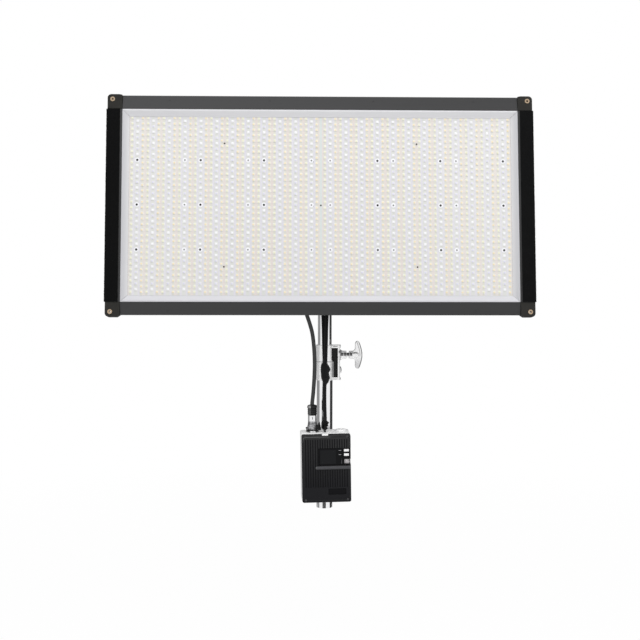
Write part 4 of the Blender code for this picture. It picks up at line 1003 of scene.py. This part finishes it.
def makeScrews():
    for name, facts in screwPlaces.items():
        shape = Shape()
        r, h = facts["radius"], facts["rise"]
        floor = h * 0.35 - 0.0004  # of the six-sided recess
        for x, z in facts["spots"]:
            lean = Matrix.Rotation(math.radians(math.copysign(facts.get("lean", 0), z)), 4, "X")
            spot = facts["frame"] @ Matrix.Translation((x, facts["y"], z)) @ lean @ facts["turn"]
            if "pad" in facts:  # bare ring on the board round the head
                pad = facts["pad"]
                shape.turned([(pad, -0.0001), (pad, 0.0002), (pad * 0.9, 0.0003), (r, 0.0003)], 18, spot, 2)
            shape.turned([(r, -0.0002), (r, h * 0.55), (r * 0.86, h), (r * 0.52, h)], 16, spot)
            shape.turned([(r * 0.52, h), (r * 0.48, floor), (0, floor)], 6, spot, 1)
        made = shape.piece(name, [looks[facts["finish"]], looks["paint"], looks["clear"]])
        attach(made, facts["body"])


makeScrews()
print("screws made:", sum(len(facts["spots"]) for facts in screwPlaces.values()))


# small things on the control box
boxTrim = {
    "legends": [(0.0338, -0.0407), (0.0338, -0.0512)], "legendHalf": (0.0040, 0.00055), "glass": -0.0394,
    "sunk": -0.0001, "legendRise": 0.0001,
    "ramp": {"outline": [(0.0358, -0.0738), (0.0392, -0.0738), (0.0384, -0.0585)],
             "rise": 0.0010, "inset": 0.0006},
    "bead": {"half": 0.0566, "low": -0.1640, "high": -0.0066, "corner": 0.0046,
             "wire": 0.0007, "face": -0.0400},
    "ball": {"at": (-0.0458, 0.007, 0.0099), "radius": 0.0023, "stalk": 0.0009},
    "slot": {"at": (-0.0309, -0.0038), "low": 0.0318, "high": 0.0388, "half": 0.0007,
             "deep": -0.0008, "rise": 0.0002},
    "stud": {"at": (0.0272, 0.0036), "radius": 0.0016, "rise": 0.0036},
}


def addMarks(shape):  # plain dashes and the rising wedge beside the keys
    glass = boxFrame @ Matrix.Translation((0, boxTrim["glass"], 0)) @ toFront
    long, tall = boxTrim["legendHalf"]
    for x, z in boxTrim["legends"]:
        outline = [(x - long, z), (x - long / 2, z - tall), (x + long / 2, z - tall),
                   (x + long, z), (x + long / 2, z + tall), (x - long / 2, z + tall)]
        shape.slab(outline, boxTrim["sunk"], boxTrim["legendRise"], glass)
    ramp = boxTrim["ramp"]
    shape.slab(ramp["outline"], boxTrim["sunk"], ramp["rise"], glass, 1, ramp["inset"])


def addBead(shape):  # round the edge of the cover
    bead = boxTrim["bead"]
    corner = bead["corner"]
    across, low, high = bead["half"] - corner, bead["low"] + corner, bead["high"] - corner
    route = []
    for x, z, start in ((across, high, 0), (-across, high, 90), (-across, low, 180), (across, low, 270)):
        for i in range(9):
            angle = math.radians(start + 90 * i / 8)
            spot = (x + corner * math.cos(angle), bead["face"], z + corner * math.sin(angle))
            route.append(boxFrame @ Vector(spot))
    shape.swept(route + [route[0]], 8, lambda i, angle: bead["wire"], 1, capped=False)


def addTopTrim(shape):  # the plug's slot, the ball beside it and a stud
    slot = boxTrim["slot"]
    plug = boxFrame @ Matrix.Translation((*slot["at"], 0)) @ toFront
    outline = rectangle(-slot["half"], slot["half"], slot["low"], slot["high"])
    shape.slab(outline, slot["deep"], slot["rise"], plug, 2)
    ball = boxTrim["ball"]
    x, y, z = ball["at"]
    r, s = ball["radius"], ball["stalk"]
    rings = ballRings(r, (-66, -40, -15, 15, 40, 65), z)
    stand = boxFrame @ Matrix.Translation((x, y, 0))
    shape.turned([(s, 0), (s, z - r * 0.92), *rings, (0, z + r)], 18, stand, 2)
    stud = boxTrim["stud"]
    r, h = stud["radius"], stud["rise"]
    stand = boxFrame @ Matrix.Translation((*stud["at"], 0))
    shape.turned([(r, 0), (r, h * 0.6), (r * 0.7, h * 0.92), (0, h)], 18, stand, 3)


def makeBoxTrim():
    shape = Shape()
    addMarks(shape)
    addBead(shape)
    addTopTrim(shape)
    finishes = [looks["ink"], looks["trim"], looks["paint"], looks["zinc"]]
    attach(shape.piece("boxTrim", finishes), "head")


makeBoxTrim()
print("box trim made")


# loop fabric strips wrapped round the panel's sides
loopStrip = {
    "inner": 0.489, "outer": 0.5225, "front": -0.1105, "back": -0.090, "half": 0.2359, "thick": 0.0022,
    "hem": 0.0006, "corner": [(-0.0004, 0.0002), (0, 0.0010)], "sideFrom": 0.0005,
    "step": 0.0016, "nap": 0.0007, "napLow": 0.8, "wander": 0.0003, "seed": 11,
}


def stripLine():  # across the strip, in distance from the panel's middle and depth
    inner, outer, front, back = (loopStrip[edge] for edge in ("inner", "outer", "front", "back"))
    thick, hem = loopStrip["thick"], loopStrip["hem"]
    line = [(inner, front + thick), (inner, front + hem), (inner + hem, front)]
    steps = round((outer - inner) / loopStrip["step"])
    line += [(inner + (outer - inner) * i / steps, front) for i in range(1, steps)]
    line += [(outer + x, front + y) for x, y in loopStrip["corner"]]
    steps = round((back - front) / loopStrip["step"])
    line += [(outer, front + (back - front) * i / steps) for i in range(1, steps + 1)]
    return line + [(outer - thick, back)]


def makeLoopStrip(side, sign):
    chance = random.Random(loopStrip["seed"] + sign)
    line = stripLine()
    half = loopStrip["half"]
    rows = round(2 * half / loopStrip["step"])
    points, faces = [], []
    for row in range(rows + 1):
        z = -half + 2 * half * row / rows
        for k, (x, y) in enumerate(line):
            end = k in (0, len(line) - 1)
            nap = 0 if end else loopStrip["nap"] * (chance.random() - loopStrip["napLow"])
            wander = 0 if end else loopStrip["wander"] * (chance.random() - 0.5)
            onSide = x > loopStrip["outer"] - loopStrip["sideFrom"]
            across = x + (nap if onSide else wander)
            points.append((panelMiddle + sign * across, y - (0 if onSide else nap), z + wander))
    wide = len(line)
    for row in range(rows):
        for k in range(wide - 1):
            face = (row * wide + k, row * wide + k + 1, (row + 1) * wide + k + 1, (row + 1) * wide + k)
            faces.append(face if sign < 0 else tuple(reversed(face)))
    shape = Shape()
    shape.add(points, faces, 0, panelFrame)
    made = shape.piece(f"{side}LoopStrip", [looks["loop"]])
    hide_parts(f"{side}_loop_strip")
    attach(made, "panel")


makeLoopStrip("left", -1)
makeLoopStrip("right", 1)
print("loop strips made")


# stage: floor, lamps, world and grey cards that only reflections see
stage = {
    "floorLevel": -0.36, "floorReach": 14, "floorFade": (1.2, 7.0), "floorWhite": 0.97, "worldFill": 0.55,
    "lamps": {
        "topLamp": {"at": (0.2, -1.3, 3.4), "aim": (0, -0.1, 0.6), "size": 3.0, "watts": 62},
        "frontLamp": {"at": (0.3, -4.4, 2.2), "aim": (0, 0, 0.6), "size": 2.4, "watts": 26},
    },
    "cards": {
        "darkCard": {"plan": [(1.2, -0.15), (1.2, 1.0), (0, 1.0)], "low": -0.34, "high": 1.6, "grey": 0.05},
        "greyCard": {"plan": [(-1.2, -0.21), (-1.2, 1.0), (0, 1.0)], "low": -0.34, "high": 1.6, "grey": 0.31},
        "lowCard": {"plan": [(-0.50, -0.9), (0.34, -0.9)], "low": -0.35, "high": -0.15, "grey": 0.08},
    },
}


def makeFloor():
    data = bpy.data.meshes.new("floor")
    far = stage["floorReach"]
    data.from_pydata([(x, y, 0) for x, y in rectangle(-far, far, -far, far)], [], [(0, 1, 2, 3)])
    floor = bpy.data.objects.new("floor", data)
    floor.location.z = stage["floorLevel"]
    scene.collection.objects.link(floor)
    f = Finish("paleFloor")
    shade = f.noise(3, 2)
    f.dress(colour=f.mix(shade, (0.93, 0.93, 0.93), (0.95, 0.95, 0.95)), rough=0.8, level=0.1)
    x, y, _ = f.axes()
    away = f.band(x * x + y * y, *stage["floorFade"])  # the floor runs out into the white
    white = stage["floorWhite"]
    f.cover((f.seen() > 0.5) * (white + away * (1 - white)), f.glow(1.0))
    data.materials.append(f.material)


def makeWorld():  # white where it is seen, dimmer as a light
    world = bpy.data.worlds.new("studio")
    scene.world = world
    w = Tree(world)
    sky = w.tree.nodes["Background"]
    w.feed(sky.inputs["Color"], (1, 1, 1))
    level = w.node("ShaderNodeMix", None, {0: w.seen(), 2: stage["worldFill"], 3: 1.0})
    w.feed(sky.inputs["Strength"], level)


def makeLamp(name, at, aim, size, watts):
    data = bpy.data.lights.new(name, "AREA")
    data.shape, data.size, data.energy = "DISK", size, watts
    made = bpy.data.objects.new(name, data)
    made.location = at
    made.rotation_euler = (Vector(aim) - Vector(at)).to_track_quat("-Z", "Y").to_euler()
    scene.collection.objects.link(made)
    made.visible_glossy = False


def makeCard(name, plan, low, high, grey):  # upright faces over a line on the floor
    data = bpy.data.meshes.new(name)
    points = [(x, y, z) for x, y in plan for z in (low, high)]
    data.from_pydata(points, [], [(i, i + 2, i + 3, i + 1) for i in range(0, len(points) - 2, 2)])
    made = bpy.data.objects.new(name, data)
    scene.collection.objects.link(made)
    f = Finish(name)
    f.surface(f.glow(grey))
    data.materials.append(f.material)
    made.visible_camera = made.visible_diffuse = made.visible_transmission = made.visible_shadow = False
    made.visible_volume_scatter = False


makeFloor()
makeWorld()
for name, facts in stage["lamps"].items():
    makeLamp(name, **facts)
for name, facts in stage["cards"].items():
    makeCard(name, **facts)
print("stage set")
